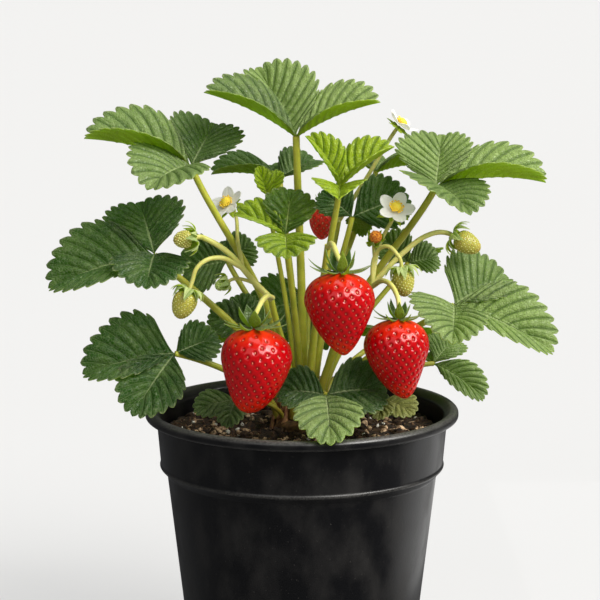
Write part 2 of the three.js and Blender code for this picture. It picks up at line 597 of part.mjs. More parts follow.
// The fruit stalks: each rises from the crown to its first fork, and each branch then runs through hand-set points
// to the cap of the fruit or flower that it is named for.
const STALKS = {
  truss_left: { first: [-16, -26, 213], bow: 0, radius: 1.8, branches: [
    { to: "green_high_left", radius: 1.6,
      via: [[-15, -26, 211], [-25, -25, 221], [-38, -27, 236], [-49, -29, 243]] },
    { to: "green_low_left", radius: 1.3, via: [[-31, -26, 228], [-42, -31, 233.5], [-52, -35, 230]] },
    { to: "berry_left", radius: 1.4, via: [[-15, -25, 212], [-18, -40, 215], [-22, -57, 211]] },
    { to: "bud", radius: 1, via: [[-23, -25, 219], [-30, -22, 221]] },
    { to: "flower_left", radius: 1.1, via: [[-30, -25.5, 227], [-33, -8, 238]] }] },
  truss_centre: { first: [13, -30, 240], bow: 0, radius: 1.7, branches: [
    { to: "berry_centre", radius: 1.5, via: [[13, -29, 238.5], [15, -42, 242], [17.6, -56, 237.5]] }] },
  truss_right: { first: [36, -22, 219], bow: 0, radius: 1.8, branches: [
    { to: "berry_right", radius: 1.4, via: [[35.5, -21, 217], [42, -34, 222], [47.6, -46.5, 216]] },
    { to: "green_mid_right", radius: 1.2,
      via: [[36, -22, 218], [37.5, -20, 233], [43, -25, 238.5], [48.8, -29.4, 234]] },
    { to: "old_flower", radius: 1, via: [[37.3, -20, 231], [37, -12, 236]] },
    { to: "flower_right", radius: 1.1, via: [[36.3, -21, 221], [40, -13, 238]] },
    { to: "green_high_right", radius: 1.5, via: [[35, -21, 217], [52, -16, 234], [66, -12, 243]] }] },
  truss_back: { first: [20, 30, 246], bow: 0, radius: 1.5, branches: [
    { to: "berry_back", radius: 1.3, via: [[19.6, 29, 244], [17, 36, 257], [13, 40, 259]] },
    { to: "flower_top", radius: 1.2, via: [[20, 30, 245], [35, 28, 269]] }] },
};

function stalkSolid(stalk, start) {
  const pieces = [rod(stalkCurve(start, vec(stalk.first), stalk.bow), stalk.radius, 5, 6)];
  for (const branch of stalk.branches) {
    const cap = capOf(branch.to);
    const outward = vec(cap.aim).normalize();
    const end = vec(cap.seat).addScaledVector(outward, -1.2);
    const before = vec(cap.seat).addScaledVector(outward, -4.5);
    const curve = new THREE.CatmullRomCurve3([...branch.via.map(vec), before, end]);
    pieces.push(rod(curve, branch.radius, branch.via.length + 3, 4), capSolid(cap));
    if (branch.to === "bud") pieces.push(headSolid(HEADS.bud, 1));
  }
  return joined(pieces);
}

// A round head with its top at a height inside its cap: sunk in the cap, or just below it as a piece of its own
function headSolid(head, top) {
  const ball = new THREE.SphereGeometry(head.radius, 7, 5).rotateX(Math.PI / 2);
  ball.translate(0, 0, top - head.radius);
  return solidOf(ball).transform(aimed(head.seat, head.aim).toArray());
}

// The group of named pieces
const plant = new THREE.Group();

function addPiece(name, solid, finish) {
  const material = new THREE.MeshStandardMaterial({ metalness: 0, ...finish });
  const mesh = new THREE.Mesh(geometryOf(solid), material);
  mesh.name = name;
  plant.add(mesh);
}

const FINISH = {
  pot: { color: 0x1b1b1c, roughness: 0.5 },
  soil: { color: 0x2a1d14, roughness: 1 },
  crown: { color: 0x5a4a26, roughness: 0.9 },
  leaf: { color: 0x4f7d2c, roughness: 0.6 },
  youngLeaf: { color: 0x7fae30, roughness: 0.55 },
  stalk: { color: 0x93a63a, roughness: 0.6 },
  ripe: { color: 0xc01018, roughness: 0.25 },
  unripe: { color: 0xb9b548, roughness: 0.5 },
  petal: { color: 0xf6f6f2, roughness: 0.6 },
  stamen: { color: 0xf2c21c, roughness: 0.8 },
};

const crown = crownSolid();
addPiece("pot", potSolid(), FINISH.pot);
addPiece("soil", soilSolid(crown), FINISH.soil);
addPiece("crown", crown, FINISH.crown);
const starts = rootPlaces([...Object.values(LEAVES), ...Object.values(STALKS)].map((p) => p.hub ?? p.first));
for (const [name, leaf] of Object.entries(LEAVES)) {
  const finish = name.includes("young") || name.includes("bud") ? FINISH.youngLeaf : FINISH.leaf;
  addPiece(name, leafSolid(leaf, starts.shift()), finish);
}
for (const [name, stalk] of Object.entries(STALKS)) {
  addPiece(name, stalkSolid(stalk, starts.shift()), FINISH.stalk);
}
for (const [name, berry] of Object.entries(BERRIES)) {
  const kind = isRipe(name) ? RIPE : UNRIPE;
  addPiece(name, berrySolid({ ...kind, ...berry }), isRipe(name) ? FINISH.ripe : FINISH.unripe);
}
for (const [name, flower] of Object.entries(FLOWERS)) {
  addPiece(name, petalsSolid(flower), FINISH.petal);
  addPiece(name + "_centre", centreSolid(flower), FINISH.stamen);
}
addPiece("old_flower_centre", headSolid(HEADS.old_flower, 0), FINISH.stamen);

export default plant;
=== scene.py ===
# %% [markdown]
# # A fruiting strawberry plant in a nursery pot
# A garden strawberry grows as a rosette: long stalks rise from one short crown, and each carries either a
# leaf of three toothed leaflets or a spray of fruit. This lesson dresses a plain model of such a plant. The
# plain model is loaded first and never moved, and each finer piece takes the place of one of its nodes. The
# box round the plain model is kept, to show at the end that the finer plant hasn't grown out of it.

import math
import random

import bpy
import numpy as np
from mathutils import Matrix, Quaternion, Vector, noise


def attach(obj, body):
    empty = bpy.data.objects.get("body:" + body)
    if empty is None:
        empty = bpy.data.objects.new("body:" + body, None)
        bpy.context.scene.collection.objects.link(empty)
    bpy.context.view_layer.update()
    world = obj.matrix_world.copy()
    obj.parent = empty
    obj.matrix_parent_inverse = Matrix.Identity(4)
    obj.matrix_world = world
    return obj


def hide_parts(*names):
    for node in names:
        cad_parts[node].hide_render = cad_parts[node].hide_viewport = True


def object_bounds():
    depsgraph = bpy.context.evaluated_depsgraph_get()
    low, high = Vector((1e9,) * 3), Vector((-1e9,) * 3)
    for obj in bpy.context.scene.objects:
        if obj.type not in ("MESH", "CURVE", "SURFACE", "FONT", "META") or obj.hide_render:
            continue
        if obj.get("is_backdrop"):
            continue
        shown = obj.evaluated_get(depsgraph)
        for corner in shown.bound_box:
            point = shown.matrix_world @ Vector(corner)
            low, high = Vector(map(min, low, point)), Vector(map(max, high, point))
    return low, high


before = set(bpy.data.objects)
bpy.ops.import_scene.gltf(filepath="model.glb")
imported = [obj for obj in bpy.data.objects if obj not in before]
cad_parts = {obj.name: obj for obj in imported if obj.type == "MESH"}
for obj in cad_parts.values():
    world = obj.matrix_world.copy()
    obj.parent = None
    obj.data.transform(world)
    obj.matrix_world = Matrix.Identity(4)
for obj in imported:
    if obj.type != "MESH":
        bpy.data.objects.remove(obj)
plain_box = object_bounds()
bpy.ops.object.select_all(action="DESELECT")
print("nodes in the plain model:", len(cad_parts))

# %% [markdown]
# ## Small helpers for meshes
# Every piece here is worked out in millimetres, because that is how a gardener would measure it, and one
# function brings the finished mesh to metres. A sheet that curves, such as a leaf or a petal, could be
# pulled into shape by hand, but sixty leaflets would take days. So each starts as Blender's grid, and a
# formula says where each of its points goes. Things that repeat by the hundred are one small model and a
# list of places.

# %% Helpers for meshes
MM = 0.001


def read(piece, what="co"):
    """Where a piece's points are, or, for "normal", which way each of them faces."""
    flat = np.empty(3 * len(piece.data.vertices))
    piece.data.vertices.foreach_get(what, flat)
    return flat.reshape(-1, 3)


def write(piece, places):
    piece.data.vertices.foreach_set("co", np.asarray(places, dtype=float).ravel())
    piece.data.update()


def tag(piece, name, values):
    """Gives each point three numbers that a material can read by name."""
    layer = piece.data.attributes.new(name, "FLOAT_VECTOR", "POINT")
    layer.data.foreach_set("vector", np.asarray(values, dtype=float).ravel())


def flat_grid(long, across):
    """A grid, with how far along it (0 to 1) and across it (-1 to 1) each of its points is."""
    bpy.ops.mesh.primitive_grid_add(x_subdivisions=long, y_subdivisions=across, size=2)
    piece = bpy.context.object
    flat = read(piece)
    return piece, (flat[:, 0] + 1) / 2, flat[:, 1]


def shaped_grid(long, across, shape):
    """A grid whose points shape(u, v) places."""
    piece, u, v = flat_grid(long, across)
    write(piece, shape(u, v))
    return piece


def made_of(piece, *materials):
    for material in materials:
        piece.data.materials.append(material)
    return piece


def edit(piece, *steps):
    """Runs edit-mode operators on all of a piece, each with its settings."""
    bpy.context.view_layer.objects.active = piece
    bpy.ops.object.mode_set(mode="EDIT")
    bpy.ops.mesh.select_all(action="SELECT")
    for operator, settings in steps:
        operator(**settings)
    bpy.ops.object.mode_set(mode="OBJECT")


def finish_with(piece, kind, **settings):
    """Adds a modifier and applies it."""
    bpy.context.view_layer.objects.active = piece
    modifier = piece.modifiers.new(kind.title(), kind)
    for name, value in settings.items():
        setattr(modifier, name, value)
    bpy.ops.object.modifier_apply(modifier=modifier.name)


def joined(pieces, name):
    bpy.ops.object.select_all(action="DESELECT")
    for piece in pieces:
        piece.select_set(True)
    bpy.context.view_layer.objects.active = pieces[0]
    if len(pieces) > 1:
        bpy.ops.object.join()
    pieces[0].name = name
    pieces[0].select_set(False)
    return pieces[0]


print("helpers for one piece ready, a unit is a millimetre until a piece is handed in")


# %% Helpers for copies and for finished pieces
def copies(model, places, name, shades=None):
    """One mesh with a copy of the model at each place, and the model itself deleted."""
    corners = np.c_[read(model), np.ones(len(model.data.vertices))]
    faces = [tuple(face.vertices) for face in model.data.polygons]
    points = []
    sides = []
    for place in places:
        first = len(points) * len(corners)
        points.append(corners @ np.array(place).T[:, :3])
        sides += [tuple(first + i for i in face) for face in faces]
    mesh = bpy.data.meshes.new(name)
    mesh.from_pydata(np.concatenate(points).tolist(), [], sides)
    mesh.materials.append(model.data.materials[0])
    piece = bpy.data.objects.new(name, mesh)
    bpy.context.collection.objects.link(piece)
    if shades is not None:
        tag(piece, "shade", np.repeat(np.c_[shades, shades, shades], len(corners), axis=0))
    bpy.data.objects.remove(model)
    return piece


def soften(piece, degrees=180):
    """Shades a piece as smooth, except over edges sharper than so many degrees."""
    bpy.ops.object.select_all(action="DESELECT")
    piece.select_set(True)
    bpy.context.view_layer.objects.active = piece
    bpy.ops.object.shade_smooth_by_angle(angle=math.radians(degrees))
    piece.select_set(False)


pieces = []


def hand_in(piece, slot, *nodes):
    """Brings a finished piece to metres, hangs it under the root and hides the nodes that it stands for;
    slot is not used.
    """
    write(piece, read(piece) * MM)
    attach(piece, "root")
    if nodes:
        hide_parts(*nodes)
    piece.data.calc_loop_triangles()
    pieces.append((piece.name, len(piece.data.loop_triangles)))


print("pieces handed in so far:", len(pieces))

# %% [markdown]
# ## Small helpers for materials
# Colours are picked as sRGB hex values, the way a colour picker shows them, and Blender's shaders work in
# linear light, so one function converts them. Another adds a node, sets it and links it in one line. A
# pattern that has a real size, such as a leaf cell, is given by its spacing in millimetres.

# %% Helpers for materials
def paint(code):
    channels = [int(code[i:i + 2], 16) / 255 for i in (1, 3, 5)]
    linear = [c / 12.92 if c <= 0.04045 else ((c + 0.055) / 1.055) ** 2.4 for c in channels]
    return (*linear, 1)


def node(tree, kind, links=(), out=None, **settings):
    """Adds a node, sets it and links it, and gives the output that is named, or else its first live one."""
    made = tree.nodes.new("ShaderNode" + kind)
    for name, value in settings.items():
        setattr(made, name, value)
    for socket, source in dict(links).items():
        if isinstance(source, bpy.types.NodeSocket):
            tree.links.new(source, made.inputs[socket])
        else:
            made.inputs[socket].default_value = source
    return made.outputs[out] if out else next(output for output in made.outputs if output.enabled)


def start(name, **sockets):
    """A new material: its tree, and its Principled shader with sockets set."""
    material = bpy.data.materials.new(name)
    material.use_nodes = True
    shader = material.node_tree.nodes["Principled BSDF"]
    for socket, value in sockets.items():
        shader.inputs[socket.replace("_", " ")].default_value = value
    return material, material.node_tree, shader


def feed(shader, **patterns):
    """Links a pattern to each of the shader's sockets that is named."""
    for socket, pattern in patterns.items():
        shader.id_data.links.new(pattern, shader.inputs[socket.replace("_", " ")])


def let_light_through(shader, share, **sockets):
    """Mixes a share of light that comes through from behind into a thin leaf's or petal's shader."""
    tree = shader.id_data
    light = node(tree, "BsdfTranslucent", sockets)
    both = node(tree, "MixShader", {0: share, 1: shader.outputs["BSDF"], 2: light})
    tree.links.new(both, tree.nodes["Material Output"].inputs["Surface"])


def set_stops(colour, stops):
    """Sets the stops of a colour ramp, given as (place, linear colour) from place 0 to place 1."""
    elements = colour.node.color_ramp.elements
    elements[0].color, elements[1].color = stops[0][1], stops[-1][1]
    for place, stop_colour in stops[1:-1]:
        elements.new(place).color = stop_colour


def per_metre(spacing):
    """The scale that gives a pattern this spacing in millimetres."""
    return 1 / (spacing * MM)


MIX_A, MIX_B = 6, 7  # a Mix node's colour sockets
print("a pattern spaced 1.5 mm needs a scale of", round(per_metre(1.5)))

# %% [markdown]
# ## Pot and soil materials
# A nursery pot is injection-moulded polypropylene, black right through with carbon pigment. It comes out of
# the mould satin. Handling and potting leave it dusty, so its colour and its roughness get faint clouds and
# a few specks. Its edges, which rub when pots are stacked, are painted pale: partly scuffs, and partly
# painted highlight lines along the lip and the collar's edges. These pale bands could be painted by hand,
# but a colour ramp over the height finds the lip and the collar's two edges on any side of a round pot.
# Potting mix is peat: almost black where it is damp, with brown fibres, chips of bark and white perlite,
# which is puffed volcanic glass. Peat scatters nearly all light, so it is fully rough.

# %% The pot's material
POT = {"height": 150, "foot": 58, "body_top": 115.5, "body": 71.3, "wall": 1.8, "sides": 144}
SCUFF_AND_HIGHLIGHT_BANDS = [(118.9, 119.8, 121.2), (144.2, 145.2, 146.4)]  # heights where a pale band, partly scuff and partly painted highlight, starts, is palest and ends
LIP_SCUFF_AND_HIGHLIGHT = 148  # the height over which the lip is painted pale, partly scuffed and partly a painted highlight
PALE = 0.45  # how pale the collar's edges are, beside the lip
BLACK, WHITE = (0, 0, 0, 1), (1, 1, 1, 1)


def dusty_polypropylene_with_lit_edges():
    material, tree, shader = start("moulded_black_polypropylene", IOR=1.49, Specular_IOR_Level=0.52)
    place = node(tree, "TexCoord", out="Object")
    specks = node(tree, "TexNoise", {"Vector": place, "Scale": per_metre(1.1), "Detail": 4})
    drawn = node(tree, "Mapping", {"Vector": place, "Scale": (1, 1, 0.6)})
    clouds = node(tree, "TexNoise", {"Vector": drawn, "Scale": per_metre(14), "Detail": 6})
    fine = node(tree, "MapRange", {"Value": specks, "From Min": 0.68, "From Max": 0.8, "To Max": 0.5})
    broad = node(tree, "MapRange", {"Value": clouds, "From Min": 0.42, "From Max": 0.72})
    faint = node(tree, "Math", {0: broad, 1: 0.09}, operation="MULTIPLY")
    dust = node(tree, "Math", {0: fine, 1: faint}, operation="MAXIMUM")
    height = node(tree, "SeparateXYZ", {0: place}, out="Z")
    level = node(tree, "Math", {0: height, 1: POT["height"] * MM}, operation="DIVIDE")
    # pale bands at the collar's edges and on the lip: partly scuffs, partly painted highlight lines
    edges = node(tree, "ValToRGB", {"Fac": level})
    pale = (PALE, PALE, PALE, 1)
    bands = [(z / POT["height"], colour) for band in SCUFF_AND_HIGHLIGHT_BANDS for z, colour in zip(band, (BLACK, pale, BLACK))]
    set_stops(edges, [(0, BLACK), *bands, (LIP_SCUFF_AND_HIGHLIGHT / POT["height"], BLACK), (1, WHITE)])
    scuffs = node(tree, "MapRange", {"Value": specks, "From Min": 0.35, "From Max": 0.6, "To Min": 0.3})
    worn_and_highlit = node(tree, "Math", {0: edges, 1: scuffs}, operation="MULTIPLY")
    colour = paint("#060608")
    for share, over in ((dust, "#5a5650"), (worn_and_highlit, "#504f4b")):
        colour = node(tree, "Mix", {0: share, MIX_A: colour, MIX_B: paint(over)}, data_type="RGBA")
    gloss = node(tree, "MapRange", {"Value": broad, "To Min": 0.3, "To Max": 0.48})
    skin = node(tree, "Bump", {"Height": specks, "Strength": 0.2, "Distance": 0.2 * MM})
    feed(shader, Base_Color=colour, Roughness=gloss, Normal=skin)
    return material


PLASTIC = dusty_polypropylene_with_lit_edges()  # satin black, with dust that shows where the light grazes it, and pale edges that are partly scuffs and partly painted highlights
print("material:", PLASTIC.name, "with", len(SCUFF_AND_HIGHLIGHT_BANDS) + 1, "scuffed and highlit edges")


# %% The soil's materials
def speckled(name, dark, light, spacing, depth, roughness=1.0):
    """A matt, grainy stuff whose colour runs from dark to light over grains of one spacing."""
    material, tree, shader = start(name, Roughness=roughness)
    place = node(tree, "TexCoord", out="Object")
    grain = node(tree, "TexNoise", {"Vector": place, "Scale": per_metre(spacing), "Detail": 6})
    share = node(tree, "MapRange", {"Value": grain, "From Min": 0.38, "From Max": 0.66})
    colour = node(tree, "Mix", {0: share, MIX_A: paint(dark), MIX_B: paint(light)}, data_type="RGBA")
    relief = node(tree, "Bump", {"Height": grain, "Strength": 0.7, "Distance": depth * MM})
    feed(shader, Base_Color=colour, Normal=relief)
    return material


PEAT = speckled("damp_peat", "#140d09", "#46321f", 2.2, 1.0)  # near black, with brown fibre
CRUMB = speckled("peat_crumbs", "#20150d", "#6b5038", 1.6, 0.6)  # drier, so browner, than the bed
BARK = speckled("pine_bark", "#72563e", "#dcbc98", 1.8, 0.5)  # tan where it is broken, brown outside
PERLITE = speckled("perlite", "#b9b2a6", "#f2efe8", 0.9, 0.3, 0.85)  # dull white with dust in its pores
print("materials:", ", ".join(m.name for m in (PEAT, CRUMB, BARK, PERLITE)))

# %% [markdown]
# ## The pot
# The mould gives the pot a rolled lip to carry it by, a collar band below the lip that ends in a small bead
# and a step, and a body that tapers so that pots stack. A real one is 1.8 mm thick with no sharp corner. It
# could be a cylinder pushed and pulled ring by ring. Here its half outline is listed once, each corner is
# rounded by a short curve, and the outline is swept round by the grid formula, so that the wall, lip and
# floor are one closed skin.

# %% The pot
LIP = {"radius": 82.5, "breadth": 4, "drop": 3, "corner": 1.4}
COLLAR = {"bottom": 119.5, "low": 74.6, "top": 144.6, "high": 76.6}
FLOOR = 2.5
BEAD = {"out": 0.5, "tall": 0.9}  # the small bead that the collar's lower edge swells out to
ROUNDING = 0.8  # of the pot's corners, in mm


def rounded(outline, radius, steps=4):
    """The outline with each corner replaced by a short curve."""
    smooth = [Vector(outline[0])]
    for before, corner, after in zip(outline, outline[1:], outline[2:]):
        before, corner, after = Vector(before), Vector(corner), Vector(after)
        reach_in = min(radius, (corner - before).length * 0.45)
        reach_out = min(radius, (after - corner).length * 0.45)
        first = corner + (before - corner).normalized() * reach_in
        last = corner + (after - corner).normalized() * reach_out
        for i in range(steps + 1):
            t = i / steps
            smooth.append(first * (1 - t) ** 2 + corner * 2 * t * (1 - t) + last * t * t)
    return [*smooth, Vector(outline[-1])]


def revolved(outline, sides):
    """A closed skin from a half outline, (radius, height), swept round the upright axis."""
    radii, heights = np.array([tuple(p) for p in outline]).T
    steps = np.arange(len(outline))

    def shape(u, v):
        turn = v * math.pi
        radius = np.interp(u * steps[-1], steps, radii)
        height = np.interp(u * steps[-1], steps, heights)
        return np.c_[radius * np.cos(turn), radius * np.sin(turn), height]

    piece = shaped_grid(len(outline) - 1, sides, shape)
    edit(piece, (bpy.ops.mesh.remove_doubles, {"threshold": 0.001}),
         (bpy.ops.mesh.normals_make_consistent, {"inside": False}))
    return piece


def pot_outline():
    wall, lip, corner, height = POT["wall"], LIP["radius"], LIP["corner"], POT["height"]
    low, bottom, high, top = COLLAR["low"], COLLAR["bottom"], COLLAR["high"], COLLAR["top"]
    outside = [
        (0, 0), (POT["foot"], 0), (POT["body"], POT["body_top"]), (low + BEAD["out"], bottom),
        (low + BEAD["out"], bottom + BEAD["tall"]), (low, bottom + 2 * BEAD["tall"]), (high, top)]
    rim = [(lip - corner, top + 0.2), (lip, top + corner), (lip, height - corner), (lip - corner, height),
           (lip - LIP["breadth"], height)]
    inside = [(high - wall, height - LIP["drop"]), (low - wall, bottom + wall),
              (POT["body"] - wall, POT["body_top"] + wall), (POT["foot"] - wall, FLOOR), (0, FLOOR)]
    return outside + rim + inside


pot = made_of(revolved(rounded(pot_outline(), ROUNDING), POT["sides"]), PLASTIC)
pot.name = "nursery_pot"
soften(pot, 40)
hand_in(pot, "pot", "pot")
print("pot", POT["height"], "mm tall,", 2 * LIP["radius"], "mm across,", len(pot.data.polygons), "faces")

# %% [markdown]
# ## The soil
# Potting mix settles into low lumps between the stalks and stays a finger's width below the rim. The bed
# could be sculpted, but layered noise at three sizes gives the same lumps from three numbers. A round bed
# from a square grid keeps its faces even, where rings would crowd at the middle. Loose bits then lie on it:
# crumbs, bark chips and perlite, each a squashed few-sided stone copied to seeded places, because peat
# never looks smooth.

# %% The soil bed
SOIL = {"top": 138, "lump": 1.3, "radius": 71.8, "faces": 130, "depth": 22}
CROWN = {"x": 1, "y": 2, "top": 144, "radius": 18}


def soil_height(x, y):
    coarse = math.sin(x * 0.17 + 1.3) * math.cos(y * 0.21 - 0.4)
    fine = math.sin(x * 0.43 - y * 0.31) * math.cos(y * 0.47 + x * 0.12)
    bed = SOIL["top"] + SOIL["lump"] * (0.6 * coarse + 0.6 * fine)
    lumps = 1.6 * noise.noise(Vector((x / 9, y / 9, 2))) + 0.9 * noise.noise(Vector((x / 3.5, y / 3.5, 5)))
    return bed + lumps + 0.5 * noise.noise(Vector((x / 1.4, y / 1.4, 8)))


def bed_shape(u, v):
    """A square grid drawn out to a round bed."""
    x, y = 2 * u - 1, v
    across = x * np.sqrt(1 - y * y / 2) * SOIL["radius"]
    along = y * np.sqrt(1 - x * x / 2) * SOIL["radius"]
    return np.c_[across, along, [soil_height(a, b) for a, b in zip(across, along)]]


bed = made_of(shaped_grid(SOIL["faces"], SOIL["faces"], bed_shape), PEAT)
top = read(bed)
finish_with(bed, "SOLIDIFY", thickness=1, offset=-1)
bottom = top * (0.93, 0.93, 0) + (0, 0, SOIL["top"] - SOIL["depth"])
write(bed, np.concatenate([top, bottom]))
bed.name = "soil_bed"
soften(bed)
hand_in(bed, "soil", "soil")
print("soil bed", round(2 * SOIL["radius"]), "mm across,", len(bed.data.polygons), "faces")

# %% Loose bits on the soil
def stone(faces_step, material):
    """A ball with few faces, knocked out of round."""
    bpy.ops.mesh.primitive_ico_sphere_add(subdivisions=faces_step, radius=1)
    piece = made_of(bpy.context.object, material)
    places = read(piece)
    rough = [1 + 0.35 * noise.noise(Vector(p) * 1.7) for p in places]
    write(piece, places * np.array(rough)[:, None])
    return piece


def strewn(seed, count, sizes):
    """Seeded places on the bed: somewhere between the crown and the pot's wall, each turned and squashed."""
    reach = SOIL["radius"] - 1.3
    draw = random.Random(seed)
    places = []
    while len(places) < count:
        radius = reach * math.sqrt(draw.random())
        turn = draw.uniform(-math.pi, math.pi)
        x, y = radius * math.cos(turn), radius * math.sin(turn)
        size = [draw.uniform(low, high) for low, high in sizes]
        spin = Quaternion([draw.gauss(0, 1) for _ in range(4)]).normalized()
        if math.hypot(x - CROWN["x"], y - CROWN["y"]) < CROWN["radius"] * 0.9 or radius + max(size) > reach:
            continue
        lying = Quaternion((0, 0, 1), draw.uniform(-math.pi, math.pi)) if sizes[2][1] < sizes[0][0] else spin
        seat = Vector((x, y, soil_height(x, y) + 0.35 * size[2]))
        places.append(Matrix.LocRotScale(seat, lying, Vector(size)))
    return places


LOOSE = [  # name, material, how finely its ball is divided, how many, and its lowest and highest sizes in mm
    ("peat_crumbs", CRUMB, 1, 900, [(0.5, 1.6), (0.5, 1.4), (0.4, 1.3)]),
    ("peat_clods", PEAT, 2, 90, [(1.6, 3.6), (1.5, 3.2), (1.2, 2.4)]),
    ("bark_chips", BARK, 1, 140, [(1.5, 3.8), (1.0, 2.6), (0.8, 1.7)]),
    ("perlite_grains", PERLITE, 2, 60, [(0.6, 1.5), (0.6, 1.4), (0.6, 1.3)]),
    ("peat_fibres", BARK, 1, 120, [(2.5, 6.0), (0.16, 0.3), (0.15, 0.3)]),
]
for seed, (name, material, faces_step, count, sizes) in enumerate(LOOSE, 11):
    bits = copies(stone(faces_step, material), strewn(seed, count, sizes), name)
    hand_in(bits, "soil")
    print(name, count)

# %% [markdown]
# ## Leaf materials
# A strawberry leaflet is thin, leathery and slightly glossy above, with paler veins pressed in, and dull
# and greyish beneath, where the veins stand out. Sunlight comes through it yellow-green, so its shader is
# part translucent. The veins could be drawn in the picture plane, but they have to follow each leaflet. So
# each leaflet carries an attribute: which tooth a point belongs to, how far it is from the midrib, and a
# shade from dark to bright, partly for age, old to young, and partly as painted light and shade. The
# shader turns the first two into veins and into painted shade in the valleys over the side veins, and the
# third into colour.

# %% Leaf materials
VEIN_PHASE = 0.625  # a side vein ends in the point of its tooth, this share of the way along the tooth
CELL = 1.5  # the spacing of the smallest cells between the veins, in mm, a little coarser than life
QUILT = 3.2  # the spacing of the small swellings between a leaf's side veins, in mm
MOTTLE = 9  # the spacing of paler and darker patches, in mm
EDGE = "#dfe6ae"  # the thin, pale rim of a leaflet
LINES = {  # what a line is drawn along, and how far from its middle it starts and ends to fade
    "side vein": ("tooth", 0.005, 0.06), "midrib": ("half width", 0.01, 0.05), "cell": ("cell", 0.02, 0.16),
    # the valley line darkens the blade over each side vein: painted shade in the crease
    "valley": ("tooth", 0.02, 0.24)}


def leaf_skin(name, old, young, vein, glow, see_through, roughness, relief, valley_shade_painted):
    """A leaf's face: colour by shade, veins from the blade attribute, painted shade in the valleys, cells,
    gloss and light let through.
    """
    material, tree, shader = start(name, IOR=1.45, Specular_IOR_Level=0.45, Sheen_Weight=0.03,
                                   Sheen_Roughness=0.4)
    place = node(tree, "TexCoord", out="Object")
    blade = node(tree, "Attribute", out="Vector", attribute_name="blade")
    tooth, half, age_and_light = node(tree, "SeparateXYZ", {0: blade}).node.outputs
    shifted = node(tree, "Math", {0: tooth, 1: 0.5 - VEIN_PHASE}, operation="ADD")
    wrapped = node(tree, "Math", {0: shifted}, operation="FRACT")
    centred = node(tree, "Math", {0: wrapped, 1: 0.5}, operation="SUBTRACT")
    off = {"tooth": node(tree, "Math", {0: centred}, operation="ABSOLUTE"),
           "half width": node(tree, "Math", {0: half}, operation="ABSOLUTE"),
           "cell": node(tree, "TexVoronoi", {"Vector": place, "Scale": per_metre(CELL)},
                        feature="DISTANCE_TO_EDGE")}
    line = {}
    for drawn, (along, inner, outer) in LINES.items():
        limits = {"Value": off[along], "From Min": inner, "From Max": outer, "To Min": 1, "To Max": 0}
        line[drawn] = node(tree, "MapRange", limits, interpolation_type="SMOOTHSTEP")
    side_veins = node(tree, "Math", {0: line["side vein"], 1: 0.6}, operation="MULTIPLY")
    veins = node(tree, "Math", {0: side_veins, 1: line["midrib"]}, operation="MAXIMUM")

    patches = node(tree, "TexNoise", {"Vector": place, "Scale": per_metre(MOTTLE), "Detail": 3})
    drift = node(tree, "MapRange", {"Value": patches, "From Min": 0.3, "From Max": 0.7,
                                    "To Min": -0.09, "To Max": 0.09})
    shade = node(tree, "Math", {0: age_and_light, 1: drift}, operation="ADD", use_clamp=True)
    rim = node(tree, "MapRange", {"Value": off["half width"], "From Min": 0.93, "From Max": 1})
    points = node(tree, "MapRange", {"Value": off["tooth"], "From Min": 0.04, "From Max": 0.3,
                                     "To Min": 0.75, "To Max": 0.08})
    # valleys: the old colour laid over the side veins' creases as painted shade
    share = {"cells": (line["cell"], 0.16), "edge": (rim, points), "valleys": (line["valley"], valley_shade_painted),
             "veins": (veins, 0.45)}
    colour = node(tree, "Mix", {0: shade, MIX_A: paint(old), MIX_B: paint(young)}, data_type="RGBA")
    for layer, over in (("cells", vein), ("edge", EDGE), ("valleys", old), ("veins", vein)):
        strength = node(tree, "Math", dict(enumerate(share[layer])), operation="MULTIPLY")
        colour = node(tree, "Mix", {0: strength, MIX_A: colour, MIX_B: paint(over)}, data_type="RGBA")
    dull = node(tree, "MapRange", {"Value": line["cell"], "To Min": roughness, "To Max": roughness + 0.15})
    quilt = node(tree, "TexVoronoi", {"Vector": place, "Scale": per_metre(QUILT)})
    lines = node(tree, "Math", {0: line["cell"], 1: 0.4, 2: veins}, operation="MULTIPLY_ADD")
    depth = node(tree, "Math", {0: quilt, 1: lines}, operation="ADD")
    normal = node(tree, "Bump", {"Height": depth, "Strength": abs(relief), "Distance": 0.8 * MM},
                  invert=relief < 0)
    feed(shader, Base_Color=colour, Roughness=dull, Normal=normal)
    lit = node(tree, "Mix", {0: shade, MIX_A: paint(glow[0]), MIX_B: paint(glow[1])}, data_type="RGBA")
    let_light_through(shader, see_through, Color=lit, Normal=normal)
    return material


print("lines drawn on every leaf:", ", ".join(LINES))

# %% The skins of old, young, yellowing and cap leaves
# Leathery and slightly glossy above with sunk veins, so the relief is negative. Each has its colours when
# old, when young, of its veins and of the light through it, then how much light comes through, roughness,
# relief and how dark the shade painted into the valleys over the side veins is
LEAF_TOP = leaf_skin("strawberry_leaf_upper", "#143a08", "#b6cc7c", "#c8d69c",
                     ("#84b82c", "#d0ec70"), 0.36, 0.36, -0.9, 0.7)
# Brighter, thinner and glossier, as it has only just opened
LEAF_YOUNG = leaf_skin("young_strawberry_leaf", "#264a0a", "#a2b61a", "#ccd880",
                       ("#b0cc10", "#ccec20"), 0.42, 0.34, -0.9, 0.75)
# Duller and yellow, as it dies back
LEAF_AGED = leaf_skin("yellowing_leaf_upper", "#34451f", "#a9ab5a", "#c8c07c",
                      ("#90983a", "#c8c050"), 0.34, 0.5, -0.8, 0.4)
# Pale and downy, so nearly matt
LEAF_CAP = leaf_skin("cap_of_a_young_fruit", "#6f9440", "#d3dd9a", "#dfe6ae",
                     ("#b8d860", "#e4f090"), 0.4, 0.5, -0.6, 0.2)
